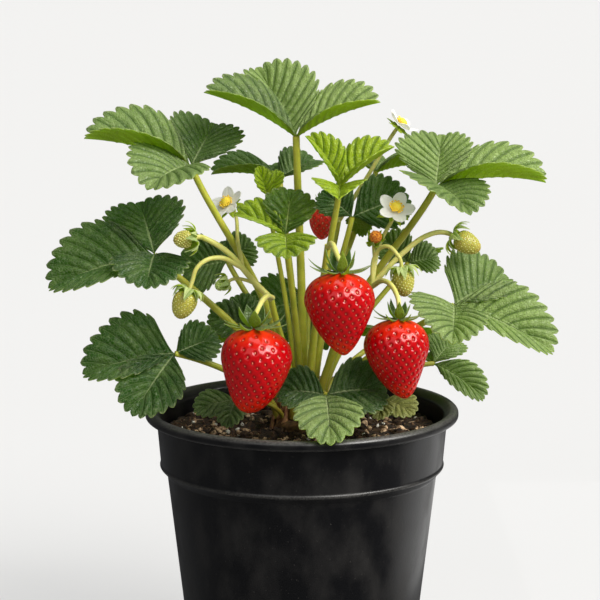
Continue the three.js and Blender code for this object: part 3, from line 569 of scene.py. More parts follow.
# Dull and paler beneath, veins raised; its bright yellow-green is partly painted light coming through the
# leaf
LEAF_UNDER = leaf_skin("strawberry_leaf_lower", "#74821e", "#b8c43a", "#c0c878",
                       ("#b8dc10", "#e4fc20"), 0.6, 0.6, 0.6, 0.0)
print("leaf materials:", ", ".join(m.name for m in (LEAF_TOP, LEAF_YOUNG, LEAF_AGED, LEAF_CAP, LEAF_UNDER)))

# %% [markdown]
# ## Stalk, crown and calyx materials
# Stalks are juicy, yellow-green and faintly ribbed, with a blush of red-brown near the crown, and covered
# with soft hairs that catch the light, which the sheen stands in for. The crown is woody and wrapped in the
# papery feet of old leaves. Calyx leaves are like small leaf blades, so they share the leaf's colours.

# %% Stalk, crown and calyx materials
BLUSH_BOTTOM, BLUSH_TOP = 142, 176  # heights in mm between which a stalk's red-brown foot fades to green


def stalk_skin(name, foot, low, high):
    """Ribbed green stalk: colour by height over the crown, with streaks along it."""
    material, tree, shader = start(name, IOR=1.4, Sheen_Weight=0.08, Sheen_Roughness=0.35, Roughness=0.42,
                                   Subsurface_Weight=0.15, Subsurface_Scale=1.2 * MM)
    place = node(tree, "TexCoord", out="Object")
    height = node(tree, "SeparateXYZ", {0: place}, out="Z")
    near_foot = node(tree, "MapRange", {"Value": height, "From Min": BLUSH_BOTTOM * MM,
                                        "From Max": BLUSH_TOP * MM, "To Min": 1, "To Max": 0})
    blotch = node(tree, "TexNoise", {"Vector": place, "Scale": per_metre(7), "Detail": 3})
    blush = node(tree, "Math", {0: near_foot, 1: blotch}, operation="MULTIPLY")
    colour = paint(low)
    for share, over in ((blotch, high), (blush, foot)):
        colour = node(tree, "Mix", {0: share, MIX_A: colour, MIX_B: paint(over)}, data_type="RGBA")
    drawn = node(tree, "Mapping", {"Vector": place, "Scale": (1, 1, 0.12)})
    ribs = node(tree, "TexNoise", {"Vector": drawn, "Scale": per_metre(0.5), "Detail": 2})
    normal = node(tree, "Bump", {"Height": ribs, "Strength": 0.25, "Distance": 0.25 * MM})
    feed(shader, Base_Color=colour, Normal=normal)
    return material


STALK = stalk_skin("leaf_and_fruit_stalk", "#7a4a26", "#7f8c1e", "#bfba40")  # juicy, with a downy sheen
PEDICEL = stalk_skin("thin_fruit_stalk", "#8a7a3a", "#a9ac40", "#d9d284")  # paler, as it thins
SHEATH = speckled("papery_sheath", "#6d3f26", "#b98a5c", 2.6, 0.4, 0.75)  # dry, thin and streaked
WOOD = speckled("woody_crown", "#3d2a1a", "#7a5a35", 2.4, 0.8)  # scaly with old leaf scars
HAIR = speckled("stalk_hairs", "#a9b06a", "#d8d9a8", 3, 0.05, 0.5)  # silky and pale
print("stalk materials:", STALK.name, PEDICEL.name, SHEATH.name, WOOD.name, HAIR.name)

# %% [markdown]
# ## Where the stalks stand
# All stalks leave one crown. Where they are crowded they push each other apart, and the ones that lean
# furthest stand furthest out. Placing twenty-six feet by hand would be slow and would let some touch, so
# the same rule as on the plain model is run here: each foot starts on the side that its stalk leans to, and
# any two that are too close are moved apart until none are.

# %% Leaves
# Each leaf has its hub, how far its stalk bows up, its stalk's radius, and its leaflets. Each leaflet has
# its tip from the hub, its width, the way that it faces, its fold and its droop in degrees, and how far it
# leans aside, where it does. Lengths are in mm.
LEAVES = {
    "leaf_top": ((-3, 5, 292), 2, 2.1, [
        ((-47, -8, 23), 42, (0, -0.3, 1), 31, 22), ((-21, 30, 34), 45, (0.1, -1, 0.75), 26, 14, -0.12),
        ((43, -8, 18), 44, (0, -0.3, 1), 31, 22)]),
    "leaf_top_left": ((-57, -5, 277), 4, 1.9, [
        ((-54, -5, 15), 46, (0, -0.24, 1), 41, 26, -0.1), ((11, 30, 20), 44, (0.1, -1, 0.8), 24, 16),
        ((-20, -36, -8), 48, (0.14, -0.36, 1), 22, 36)]),
    "leaf_left": ((-76, -10, 232), 5, 1.9, [
        ((-54, -8, -16), 47, (-0.1, -0.85, 1), 26, 24, -0.12), ((-10, 29, 24), 46, (0, -1, 0.85), 18, 20),
        ((-2, -31, -13), 42, (0, -0.7, 1), 12, 34)]),
    "leaf_low_left": ((-65.5, -20, 182), 8, 1.7, [
        ((-47, -5, -9.5), 42, (-0.1, -0.9, 0.8), 28, 26, -0.22), ((22, 10, 7), 26, (0.1, -1, 0.7), 14, 18),
        ((-20, -26, -27), 38, (-0.1, -1, 0.6), 12, 22)]),
    "leaf_top_right": ((69.5, 0, 266), 4, 2, [
        ((5, 28, 25), 44, (-0.15, -1, 0.7), 22, 16, 0.12), ((56, -5, 3), 46, (0, -0.24, 1), 38, 34),
        ((15, -34, -10.5), 50, (0.15, -0.4, 1), 24, 32, -0.25)]),
    "leaf_right": ((78.5, -15, 206.5), 6, 1.8, [
        ((30, 23, 11), 42, (-0.2, -1, 0.8), 24, 22, 0.2),
        ((50.5, -10, -22.5), 41, (0.15, -0.8, 1), 26, 26, 0.15),
        ((-3, -27, -15.5), 45, (0.12, -0.9, 0.85), 22, 26, -0.2)]),
    "leaf_low_right": ((71, 25, 168), 8, 1.5, [
        ((27, -7, -18), 24, (0, -0.8, 1), 24, 32), ((13, 25, 8), 24, (0, -1, 1), 16, 20),
        ((-10, 32, -6), 28, (0, 0, 1), 18, 30)]),
    "leaf_front": ((12, -45, 165.5), 8, 1.6, [
        ((-24, 5, 0.5), 30, (0, -0.8, 1), 14, 30), ((31, 7, 1), 38, (0, -0.9, 1), 14, 28),
        ((2, -41, -16), 36, (0, -1, 0.9), 12, 24)]),
    "leaf_young_left": ((-8.5, -30, 244.5), 3, 1.6, [
        ((-26, 3, 10), 27, (0, -0.5, 1), 36, 24), ((3, 15, 22), 29, (0.1, -1, 0.5), 18, 14),
        ((1, -20, -9), 32, (0, -0.8, 1), 14, 34)]),
    "leaf_young_right": ((19.3, -20, 268.5), 3, 1.7, [
        ((-17.5, 5, 25), 26, (0.7, -0.7, 0.4), 44, 14), ((27.5, 5, 19.5), 30, (-0.5, -0.5, 0.8), 40, 14),
        ((-1, -19, -4.5), 34, (0, -0.25, 1), 34, -45)]),
    "leaf_back_left": ((-12, 45, 266), 6, 1.7, [
        ((-36.5, -7, 3), 34, (0, -0.15, 1), 30, 26), ((20, 16, 8), 30, (0, -0.5, 1), 24, 24),
        ((-12, 38, 0), 36, (0, 0.2, 1), 20, 34)]),
    "leaf_bud": ((-18, 10, 260), 3, 1.3, [
        ((-5, 0, 16), 12, (0.3, -1, 0.2), 30, 12), ((7, 5, 13), 12, (-0.2, -1, 0.5), 30, 12)]),
    "leaf_back_right": ((26.5, 15, 248.5), 4, 1.6, [
        ((30, 5, 11), 34, (0.1, -1, 0.6), 12, 20), ((-16, 9, 13), 24, (0, -1, 0.6), 16, 20),
        ((6, 12, -12), 16, (0, 0.3, 1), 20, 28)]),
    "leaf_mid_right": ((57, 30, 222), 5, 1.5, [
        ((17, 4, 2), 22, (0, -1, 0.8), 16, 26), ((-14, 5, 14), 24, (0, -1, 0.6), 16, 20),
        ((10, 32, -4), 32, (0, 0.2, 1), 20, 30)]),
    "leaf_behind_right": ((40, 42, 270), 6, 1.6, [
        ((32, 0, 3), 32, (0, 0.1, 1), 24, 30), ((-22, 20, 6), 28, (0, 0, 1), 20, 24),
        ((10, 36, 2), 34, (0, 0.2, 1), 20, 34)]),
    "leaf_mid_left": ((-40, 35, 222), 5, 1.6, [
        ((-25, 3, -6), 38, (0, -1, 0.7), 14, 26), ((14, 2, 10), 24, (0, -1, 0.5), 16, 20),
        ((-10, 34, 4), 34, (0, 0.2, 1), 20, 30)]),
    "leaf_inner_left": ((-28, 12, 190), 5, 1.4, [
        ((-22, 0, 6), 24, (0, -1, 0.7), 14, 26), ((-7, 9, 16), 20, (0, -1, 0.5), 14, 20)]),
    "leaf_soil_left": ((-34, -30, 160), 6, 1.2, [
        ((-21, -6, -5), 19, (0, -0.8, 1), 10, 28), ((-4, -17, -11), 16, (0, -0.6, 1), 10, 24)]),
    "leaf_soil_right": ((42.5, -24, 158.5), 6, 1.2, [
        ((15, -12, -5), 19, (0, -0.8, 1), 10, 28), ((-4, -16, -7), 15, (0, -0.4, 1), 14, 24)]),
    "leaf_rear_left": ((-32, 68, 172), 10, 1.6, [
        ((-34, 4, -8), 34, (0, 0.3, 1), 20, 34), ((-6, 36, -8), 36, (0, 0.4, 1), 20, 38),
        ((27, 10, -2), 30, (0, 0.3, 1), 20, 30)]),
    "leaf_rear_right": ((48, 66, 174), 10, 1.6, [
        ((34, 4, -8), 34, (0, 0.3, 1), 20, 34), ((6, 36, -8), 36, (0, 0.4, 1), 20, 38),
        ((-27, 10, -2), 30, (0, 0.3, 1), 20, 30)]),
    "leaf_rear": ((4, 50, 198), 10, 1.6, [
        ((-32, 5, -7), 38, (-0.1, -1, 0.5), 14, 22), ((2, -2, -29), 32, (0, -1, 0.25), 12, 20),
        ((32, 5, -7), 38, (0.1, -1, 0.5), 14, 22)]),
}
LEAFLET = ("tip", "width", "face", "fold", "droop", "skew")
for *_, parts in LEAVES.values():
    parts[:] = [{"skew": 0.0, **dict(zip(LEAFLET, part))} for part in parts]
print("leaves:", len(LEAVES), "leaflets:", sum(len(leaf[3]) for leaf in LEAVES.values()))

# %% Fruit stalks
STALKS = {  # where each main stalk ends, its radius, and its branches: what each holds, its radius, its way
    "truss_left": ((-16, -26, 213), 1.8, [
        ("green_high_left", 1.6, [(-15, -26, 211), (-25, -25, 221), (-38, -27, 236), (-49, -29, 243)]),
        ("green_low_left", 1.3, [(-31, -26, 228), (-42, -31, 233.5), (-52, -35, 230)]),
        ("berry_left", 1.4, [(-15, -25, 212), (-18, -40, 215), (-22, -57, 211)]),
        ("bud", 1, [(-23, -25, 219), (-30, -22, 221)]),
        ("flower_left", 1.1, [(-30, -25.5, 227), (-33, -8, 238)])]),
    "truss_centre": ((13, -30, 240), 1.7, [
        ("berry_centre", 1.5, [(13, -29, 238.5), (15, -42, 242), (17.6, -56, 237.5)])]),
    "truss_right": ((36, -22, 219), 1.8, [
        ("berry_right", 1.4, [(35.5, -21, 217), (42, -34, 222), (47.6, -46.5, 216)]),
        ("green_mid_right", 1.2, [(36, -22, 218), (37.5, -20, 233), (43, -25, 238.5), (48.8, -29.4, 234)]),
        ("old_flower", 1, [(37.3, -20, 231), (37, -12, 236)]),
        ("flower_right", 1.1, [(36.3, -21, 221), (40, -13, 238)]),
        ("green_high_right", 1.5, [(35, -21, 217), (52, -16, 234), (66, -12, 243)])]),
    "truss_back": ((20, 30, 246), 1.5, [
        ("berry_back", 1.3, [(19.6, 29, 244), (17, 36, 257), (13, 40, 259)]),
        ("flower_top", 1.2, [(20, 30, 245), (35, 28, 269)])]),
}
print("fruit stalks:", len(STALKS), "with", sum(len(stalk[2]) for stalk in STALKS.values()), "branches")

# %% Feet on the crown
STALK_PITCH = 4.9  # how far apart two stalks are pushed, in mm
ROUNDS = 300  # how often every two are looked at
GAP = 0.3  # between pieces that are made apart, as on the plain model


def crown_places(ends):
    middle = Vector((CROWN["x"], CROWN["y"], CROWN["top"] + GAP))
    places = []
    for end in ends:
        way = Vector(end) - middle
        lean = min(1, math.hypot(way.x, way.y) / way.z)
        places.append(middle + way.xy.to_3d().normalized() * CROWN["radius"] * 0.8 * lean)
    for _ in range(ROUNDS):
        for i, a in enumerate(places):
            for j, b in enumerate(places):
                apart = a - b
                if i == j or apart.length >= STALK_PITCH:
                    continue
                push = apart.normalized() * (STALK_PITCH - apart.length) / 2
                a += push
                b -= push
    return places


ends = [leaf[0] for leaf in LEAVES.values()] + [stalk[0] for stalk in STALKS.values()]
feet = dict(zip([*LEAVES, *STALKS], crown_places(ends)))
nearest = min((a - b).length for a in feet.values() for b in feet.values() if a is not b)
print(len(feet), "stalks, the nearest two", round(nearest, 2), "mm apart")

# %% [markdown]
# ## Stalks
# A leaf stalk leaves the crown upright and soon runs almost straight to its leaf, a little thicker at its
# foot. It could be a tube extruded along and bent, but a Bezier curve with a round bevel gives an even tube
# through a few points, with a radius of its own at each point, and then becomes a mesh. Soft hairs stand
# out from strawberry stalks all along, and the foot of each leaf stalk is wrapped in a papery sheath.

# %% Tubes along curves
def tube(points, radii, handles=None, rounds=2):
    """A tube through points. handles gives the two inner control points of a single cubic stretch."""
    bpy.ops.curve.primitive_bezier_curve_add()
    piece = bpy.context.object
    piece.data.dimensions = "3D"
    spline = piece.data.splines[0]
    spline.bezier_points.add(len(points) - 2)
    for knot, point, radius in zip(spline.bezier_points, points, np.linspace(*radii, len(points))):
        knot.co = point
        knot.radius = radius
        knot.handle_left_type = knot.handle_right_type = "FREE" if handles else "AUTO"
    if handles:
        first, last = spline.bezier_points
        first.handle_right, last.handle_left = handles
        first.handle_left, last.handle_right = points
    piece.data.resolution_u = 26 if handles else 7
    piece.data.bevel_depth = 1
    piece.data.bevel_resolution = rounds
    piece.data.use_fill_caps = True
    bpy.ops.object.convert(target="MESH")
    return bpy.context.object


print("tubes are drawn as curves and kept as meshes")

# %% Stalks, hairs and sheaths
UPRIGHT = 0.45  # the share of its rise over which a stalk leaves the crown upright
HAIR_RADIUS = 0.045


def stalk_tube(foot, end, bow, radius):
    """A tube that starts upright, thick at its foot, and runs nearly straight to its end."""
    foot, end = Vector(foot), Vector(end)
    rise = Vector((foot.x, foot.y, foot.z + UPRIGHT * (end.z - foot.z)))
    near = foot.lerp(end, 0.68) + Vector((0, 0, bow))
    return tube([foot, end], (radius * 1.12, radius * 0.88), (rise, near), rounds=3)


def bristles(name, of, spacing, length, seed):
    """Soft hairs that stand out from a tube's faces, one for each patch of so many square mm."""
    draw = random.Random(seed)
    bpy.ops.mesh.primitive_cone_add(vertices=3, radius1=HAIR_RADIUS, depth=1, location=(0, 0, 0.5),
                                    end_fill_type="NOTHING")
    bpy.ops.object.transform_apply()
    hair = made_of(bpy.context.object, HAIR)
    places = []
    for face in of.data.polygons:
        wanted = face.area / spacing
        for _ in range(int(wanted) + (draw.random() < wanted % 1)):
            lean = Vector([draw.uniform(-0.5, 0.5) for _ in range(3)])
            turn = Vector((0, 0, 1)).rotation_difference(face.normal + lean)
            corner = of.data.vertices[face.vertices[draw.randrange(len(face.vertices))]].co
            seat = face.center.lerp(corner, draw.random() * 0.8)
            places.append(Matrix.LocRotScale(seat, turn, Vector((1, 1, length * draw.uniform(0.6, 1.2)))))
    return copies(hair, places, name)


def sheath(foot, radius, seed):
    """The papery foot of a leaf stalk: a short sleeve, wide below, drawn to a torn point above."""
    draw = random.Random(seed)
    tall = draw.uniform(11, 17)
    turn = draw.uniform(-math.pi, math.pi)

    def shape(u, v):
        way = v * math.pi * 0.92 + turn
        out = radius * (1.15 + 1.1 * (1 - u) ** 1.4) + 0.25 * np.sin(9 * way)
        top = tall * (0.55 + 0.45 * np.cos(v * math.pi))
        return np.c_[foot.x + out * np.cos(way), foot.y + out * np.sin(way), foot.z - 5 + u * (top + 5)]

    piece = shaped_grid(8, 18, shape)
    finish_with(piece, "SOLIDIFY", thickness=0.25, offset=0)
    return made_of(piece, SHEATH)


print("hairs are", 2 * HAIR_RADIUS, "mm thick at their feet")


# %% Leaf stalks
def leaf_stalk(name, seed):
    hub, bow, radius, _ = LEAVES[name]
    piece = made_of(stalk_tube(feet[name], hub, bow, radius), STALK)
    piece.name = name + "_stalk"
    soften(piece)
    down = bristles(name + "_stalk_hairs", piece, 4, 1.1, seed)
    wrap = sheath(feet[name], radius, seed)
    wrap.name = name + "_sheath"
    soften(wrap)
    return [piece, down, wrap]


for seed, name in enumerate(LEAVES, 40):
    for part in leaf_stalk(name, seed):
        hand_in(part, "stalk")
print("leaf stalks:", len(LEAVES))

# %% [markdown]
# ## Leaflets
# A leaflet is a blade folded a little along its midrib, with a side vein to the point of each tooth, and
# the blade swells up between the veins like a quilt. It could be cut from a plane and pushed about, but
# here the veins themselves make the grid: a grid line runs out along each side vein, eight faces lie
# between two veins, and the last row of points walks along the teeth. A notch between two teeth draws its
# grid line back along its own way out, never sideways, so no face turns over. Teeth, veins and swellings
# then always meet where they should. The blade is given its thickness last, and the veins are drawn out of
# its lower face.

# %% The outline of a leaflet
FACES_PER_TOOTH, FACES_OUT = 8, 9  # along the margin between two veins, and from the midrib to the margin
TOOTH_START = 0.16  # the share of a leaflet's length below its first tooth
TOOTH_DEPTH = 0.13  # a notch's depth as a share of the half width
LOBE_LEAN = math.log(0.5) / math.log(VEIN_PHASE)  # puts the top of a tooth's round lobe at its vein
WIDEST = 1.22  # over 1, it puts a leaflet's broadest place past its middle
EARLY = 2  # how much nearer its foot a leaflet's fuller half is broadest, for each unit of skew
SLENDER = 0.42  # a leaflet's half width as a share of its length
RIB = 0.8  # the last side vein leaves the midrib this share of the way along it
SWEEP = 1.2  # how strongly side veins sweep towards the tip
RIPPLE = 0.018  # how high a leaflet's margin waves, as a share of its half width
BLADE = 0.36  # the real thickness of a leaflet in mm


def half_width(x, early):
    """Half the breadth of a toothless leaflet, x from its foot to its tip: a wedge below, round above."""
    x = np.clip(x, 0, 1)
    return np.clip(np.sin(np.pi * x ** (WIDEST - early)), 0, 1) ** (0.95 - 0.5 * x)


def margin(q, teeth, early):
    """At tooth number q of a leaflet: where its plain outline is, and how deep it is notched there."""
    x = np.linspace(TOOTH_START, 1, 300)
    y = half_width(x, early)
    along = np.cumsum(np.hypot(np.gradient(x), np.gradient(y) * SLENDER))
    place = np.interp(q, [0, teeth + 0.5], along[[0, -1]])
    part = np.where(q > teeth, (q - teeth) * 2 * VEIN_PHASE, q - np.floor(q))
    part = np.where(q < VEIN_PHASE, VEIN_PHASE, part)  # the edge below the first tooth is plain
    lobe = np.sin(np.pi * np.clip(part, 0, 1) ** LOBE_LEAN) ** 0.5
    point = 0.12 * np.exp(-((part - VEIN_PHASE) / 0.09) ** 2)
    return np.interp(place, along, x), np.interp(place, along, y), TOOTH_DEPTH * SLENDER * (1 - lobe - point)


print("a leaflet", round(1 / (2 * SLENDER), 2), "times as long as broad, its notches", TOOTH_DEPTH, "deep")


# %% The form of a leaflet
def leaflet_shape(hub, part, teeth, puff, seed):
    """The formula that places a leaflet's grid, on the same arc and fold as the plain model's blade."""
    draw = random.Random(seed)
    waves = [draw.uniform(0, 2 * math.pi) for _ in range(4)]
    tip = Vector(part["tip"])
    chord = tip.length
    forward = tip.normalized()
    up = (Vector(part["face"]) - forward * Vector(part["face"]).dot(forward)).normalized()
    side = up.cross(forward)
    droop, fold = math.radians(part["droop"]), math.radians(part["fold"])
    bend = chord / (2 * math.sin(droop / 2))
    half = part["width"] / 2

    def shape(u, v):
        handed = np.where(v < 0, -1.0, 1.0)
        a = np.abs(v)
        q = u * (teeth + 0.5)
        edge_x, edge_y, cut = np.empty((3, len(q)))
        for hand in (-1, 1):
            here = handed == hand
            early = EARLY * max(0, hand * part["skew"])
            edge_x[here], edge_y[here], cut[here] = margin(q[here], teeth, early)
        rib = RIB * u ** SWEEP
        kept = 1 - cut / np.hypot(edge_x - rib, SLENDER * edge_y)  # a notch is cut back along its side vein
        foot = np.clip(1 - q / 2, 0, 1)
        x = rib + (edge_x - rib) * kept * a ** (SWEEP - 0.3 * foot)
        out = half * edge_y * kept * a ** (1 + 0.35 * foot) * (1 + handed * part["skew"])
        swell = np.abs(np.sin(np.pi * (q - VEIN_PHASE))) ** 0.8 * np.clip(2 * q, 0, 1)
        swell *= np.sin(np.pi * np.clip(a * 0.88 + 0.06, 0, 1))
        wave = np.sin(5 * u + waves[0] + handed * waves[1])
        wave += 0.6 * np.sin(11 * u + waves[2] + handed * waves[3])
        lift = (puff * swell + RIPPLE * half * wave * a ** 2) * np.clip(3 * edge_y, 0, 1)
        bowl = out * math.sin(fold) * (1 + 0.3 * (1 - a))
        lean = droop / 2 - droop * x
        reach = bend * (math.sin(droop / 2) - np.sin(lean))
        height = bend * (np.cos(lean) - math.cos(droop / 2))
        raised = bowl + lift + BLADE / 2
        along = reach - raised * np.sin(lean)
        over = height + raised * np.cos(lean)
        across = handed * out * math.cos(fold)
        return np.array(hub) + along[:, None] * forward + across[:, None] * side + over[:, None] * up

    return shape


print("its margin waves", RIPPLE, "of its half width")

# %% A leaflet with its veins
# How high the veins stand, in mm, and how broad they are, as shares of a tooth and of the half width
VEIN = {"side": 0.3, "side_width": 0.13, "midrib": 0.75, "midrib_width": 0.09}


def leaflet_blade(hub, part, look, shade, seed):
    teeth = look["teeth"]
    piece, u, v = flat_grid(int(FACES_PER_TOOTH * (teeth + 0.5)), 2 * FACES_OUT)
    q = u * (teeth + 0.5)
    write(piece, leaflet_shape(hub, part, teeth, look["puff"], seed)(u, v))
    tag(piece, "blade", np.c_[q, v, np.full(len(q), shade)])
    edit(piece, (bpy.ops.mesh.remove_doubles, {"threshold": 0.01}))
    upper = len(piece.data.vertices)
    made_of(piece, look["skin"], LEAF_UNDER)
    finish_with(piece, "SOLIDIFY", thickness=BLADE, offset=-1, material_offset=1, material_offset_rim=1,
                use_even_offset=False)
    raise_veins(piece, upper)
    return piece


def raise_veins(piece, upper):
    """Draws the midrib and side veins out of the lower face, thick at the foot and fine at the edge."""
    count = len(piece.data.vertices)
    blade = np.empty(3 * count)
    piece.data.attributes["blade"].data.foreach_get("vector", blade)
    q, v, _ = blade.reshape(-1, 3).T
    off_vein = np.abs((q + 0.5 - VEIN_PHASE) % 1 - 0.5)
    side = VEIN["side"] * np.clip(1 - off_vein / VEIN["side_width"], 0, 1) * (1 - np.abs(v))
    midrib = VEIN["midrib"] * np.clip(1 - np.abs(v) / VEIN["midrib_width"], 0, 1)
    midrib *= np.clip(1.1 - q / q.max(), 0.1, 1)
    lower = np.arange(count) >= upper
    write(piece, read(piece) + (np.maximum(side, midrib) * lower)[:, None] * read(piece, "normal"))


print("a midrib stands", VEIN["midrib"], "mm out of the lower face, a side vein", VEIN["side"])

# %% [markdown]
# ## Every leaf
# On the real plant no two leaves have the same green: old ones low down are dark, the ones that have just
# opened are bright and deeply pleated. So each leaf gets a shade, and a puff for how far it swells between
# the veins. The shade is partly painted light and shade too: leaflets that face the window are set
# brighter, and ones in shade darker. The broad leaves in front get a tooth more on each side than the
# others.

# %% Every leaf
LOOK = {"shade": 0.3, "teeth": 8, "puff": 1.5, "skin": LEAF_TOP}  # where the next table says no more
LOOKS = {  # shade, partly age and partly painted light, for all leaflets or for each, then the teeth on a side, the puff in mm and the skin
    "leaf_top": ((0.3, 0.52, 0.64), 9), "leaf_top_left": ((0.36, 0.16, 0.36), 9),
    "leaf_top_right": ((0.5, 0.56, 0.36), 9), "leaf_left": ((0.07, 0.04, 0.03), 9), "leaf_low_left": (0.03,),
    "leaf_right": ((0.34, 0.5, 0.5), 9), "leaf_low_right": ((0.4, 0.4, 0.3),),
    "leaf_front": ((0.04, 0.04, 0.44), 7), "leaf_young_left": ((0.66, 0.04, 0.6), 6, 1.8, LEAF_YOUNG),
    "leaf_young_right": (0.9, 7, 2, LEAF_YOUNG), "leaf_bud": (0.9, 5, 0.8, LEAF_YOUNG),
    "leaf_back_left": (0.12,), "leaf_back_right": (0.03,), "leaf_mid_left": (0.12,),
    "leaf_inner_left": (0.1, 6), "leaf_soil_left": (0.2, 6), "leaf_soil_right": (0.5, 6, 1, LEAF_AGED),
    "leaf_rear": (0.05,),
}

for number, (name, (hub, bow, radius, parts)) in enumerate(LEAVES.items()):
    look = {**LOOK, **dict(zip(LOOK, LOOKS.get(name, ())))}
    # each leaflet's shade mixes its age with painted light and shade
    shades = np.broadcast_to(look["shade"], 3)
    seeds = range(100 + 10 * number, 200 + 10 * number)
    blades = [leaflet_blade(hub, part, look, shade, seed) for part, shade, seed in zip(parts, shades, seeds)]
    leaf = joined(blades, name + "_blades")
    soften(leaf)
    hand_in(leaf, "young_leaf" if look["skin"] is LEAF_YOUNG else "leaf", name)
print("leaves:", len(LEAVES), "with", sum(len(leaf[3]) for leaf in LEAVES.values()), "leaflets")

# %% [markdown]
# ## Berry and seed materials
# What we call the berry is the swollen end of the flower stalk, and the true fruits are the seeds on it.
# The ripe flesh is soft and wet under a thin glossy skin, so light goes a little way in and comes out red,
# and the skin throws a clear highlight: a coat over a subsurface base. Each berry carries an attribute with
# its place from stalk to tip and how deep a point lies in a seed's pit. The flesh is a little paler and
# more orange by the stalk and at the tip, and the pits are painted darker than the swellings between them,
# as shade in the hollows.

# %% Berry and seed materials
def berry_flesh(name, colours, pit_shade_colour, gloss, glow):
    """Flesh whose colour runs along (stalk, middle, tip), painted darker in the pits as shade, under a
    glossy skin.
    """
    material, tree, shader = start(
        name, IOR=1.42, Roughness=gloss, Coat_Weight=0.55, Coat_Roughness=0.1, Specular_IOR_Level=0.15,
        Subsurface_Weight=glow, Subsurface_Scale=2.5 * MM, Subsurface_Radius=(1.0, 0.25, 0.12))
    place = node(tree, "TexCoord", out="Object")
    fruit = node(tree, "Attribute", out="Vector", attribute_name="fruit")
    to_tip, pit, _ = node(tree, "SeparateXYZ", {0: fruit}).node.outputs
    blotch = node(tree, "TexNoise", {"Vector": place, "Scale": per_metre(8), "Detail": 3})
    wander = node(tree, "MapRange", {"Value": blotch, "To Min": -0.12, "To Max": 0.12})
    along = node(tree, "Math", {0: to_tip, 1: wander}, operation="ADD", use_clamp=True)
    ramp = node(tree, "ValToRGB", {"Fac": along})
    stalk_end, middle, tip = [paint(colour) for colour in colours]
    set_stops(ramp, [(0, stalk_end), (0.2, middle), (0.74, middle), (1, tip)])
    # the pits are darkened: painted shade in the hollows
    flesh = node(tree, "Mix", {0: pit, MIX_A: ramp, MIX_B: paint(pit_shade_colour)}, data_type="RGBA")
    skin = node(tree, "TexNoise", {"Vector": place, "Scale": per_metre(0.9), "Detail": 2})
    normal = node(tree, "Bump", {"Height": skin, "Strength": 0.06, "Distance": 0.2 * MM})
    feed(shader, Base_Color=flesh, Normal=normal)
    return material


def seed_coat(name, pale, dark):
    """A dry, shiny seed whose colour depends on its own shade, from pale to dark."""
    material, tree, shader = start(name, Roughness=0.32, IOR=1.5)
    shade = node(tree, "Attribute", out="Fac", attribute_name="shade")
    colour = node(tree, "Mix", {0: shade, MIX_A: paint(pale), MIX_B: paint(dark)}, data_type="RGBA")
    feed(shader, Base_Color=colour)
    return material


# Ripe flesh is wet and deep red under a clear gloss, unripe flesh is waxy, and the one in shade is painted
# paler, as painted light
RIPE_FLESH = berry_flesh("ripe_strawberry_flesh", ("#cc280a", "#a40006", "#cc2a0a"),
                         "#840206", 0.28, 0.12)
UNRIPE_FLESH = berry_flesh("unripe_strawberry_flesh", ("#adb44c", "#aaa444", "#a4923c"),
                           "#787630", 0.45, 0.15)
# brighter flesh for the berry in shade: painted light that it doesn't get
FLESH_PAINTED_LIGHTER = berry_flesh("strawberry_flesh_painted_lighter", ("#f05038", "#e43428", "#ec4028"),
                           "#b82014", 0.35, 0.12)
# Seeds are dry and hard, so they throw small sharp lights
RIPE_SEED = seed_coat("ripe_strawberry_seeds", "#e49a70", "#b03420")
UNRIPE_SEED = seed_coat("unripe_strawberry_seeds", "#ccce78", "#a8984a")
print("berry materials:", RIPE_FLESH.name, UNRIPE_FLESH.name, RIPE_SEED.name, UNRIPE_SEED.name)

# %% [markdown]
# ## Berries
# Seeds come out in the crossing spirals that sunflowers and pine cones have, because each new one forms at
# a fixed turn from the last: the golden angle. Rows on rings would look machine-made. Each seed sits in an
# oval pit that the flesh swells round, and the pit is real relief, so it shades rightly from every side.
# The berry itself is a ball whose points are moved out to the radius that its outline has at their height.

# %% Where each berry hangs
BERRY = ("seat", "aim", "width", "length", "bend", "blunt", "spread")  # the last two only where they differ
BERRIES = {
    "berry_left": ((-23.6, -62, 202.5), (0, 0, -1), 35.6, 42, -8, 0.46),
    "berry_centre": ((18.9, -60, 230), (0, 0, -1), 34.7, 41, 6, 0.64),
    "berry_right": ((48.2, -50, 205), (0, 0, -1), 31.9, 40, 11, 0.58, 0.8),
    "berry_back": ((12, 41, 250.5), (-0.1, 0.1, -1), 15, 17.5, 1, 0.58, 0.7),
    "green_low_left": ((-57.2, -36, 217), (-0.38, -0.1, -1), 12, 14.5, 0),
    "green_high_left": ((-55.6, -30, 243.3), (-1, -0.3, -0.1), 9, 9.5, 0),
    "green_mid_right": ((50.6, -30, 227), (0.13, -0.1, -1), 11, 13.5, 0),
    "green_high_right": ((78.9, -10, 241.3), (1, -0.2, -0.5), 11, 14.5, 0),
}
BERRIES = {name: dict(zip(BERRY, row)) for name, row in BERRIES.items()}
print("widths in mm:", {name: spec["width"] for name, spec in BERRIES.items()})

# %% The skin of a berry and the seats of its seeds
SHOULDER = 0.35  # how far from its stalk, as a share of its length, a berry is broadest
GOLDEN = math.pi * (3 - math.sqrt(5))  # the golden angle
RIPE = {"taper": 1.18, "blunt": 0.6, "seeds": 250, "pit": 0.75,
        "oval": (1.15, 0.85), "seed": (0.54, 0.3, 0.27), "mesh": (190, 140)}
SMALL = {"taper": 1.5, "blunt": 0.58, "seeds": 100, "pit": 0.6,
         "oval": (1.0, 0.8), "seed": (0.6, 0.4, 0.3), "mesh": (90, 60)}
UNRIPE = {"taper": 1.8, "blunt": 0.5, "seeds": 130, "pit": 0.35,
          "oval": (0.7, 0.6), "seed": (0.55, 0.45, 0.5), "mesh": (72, 52)}


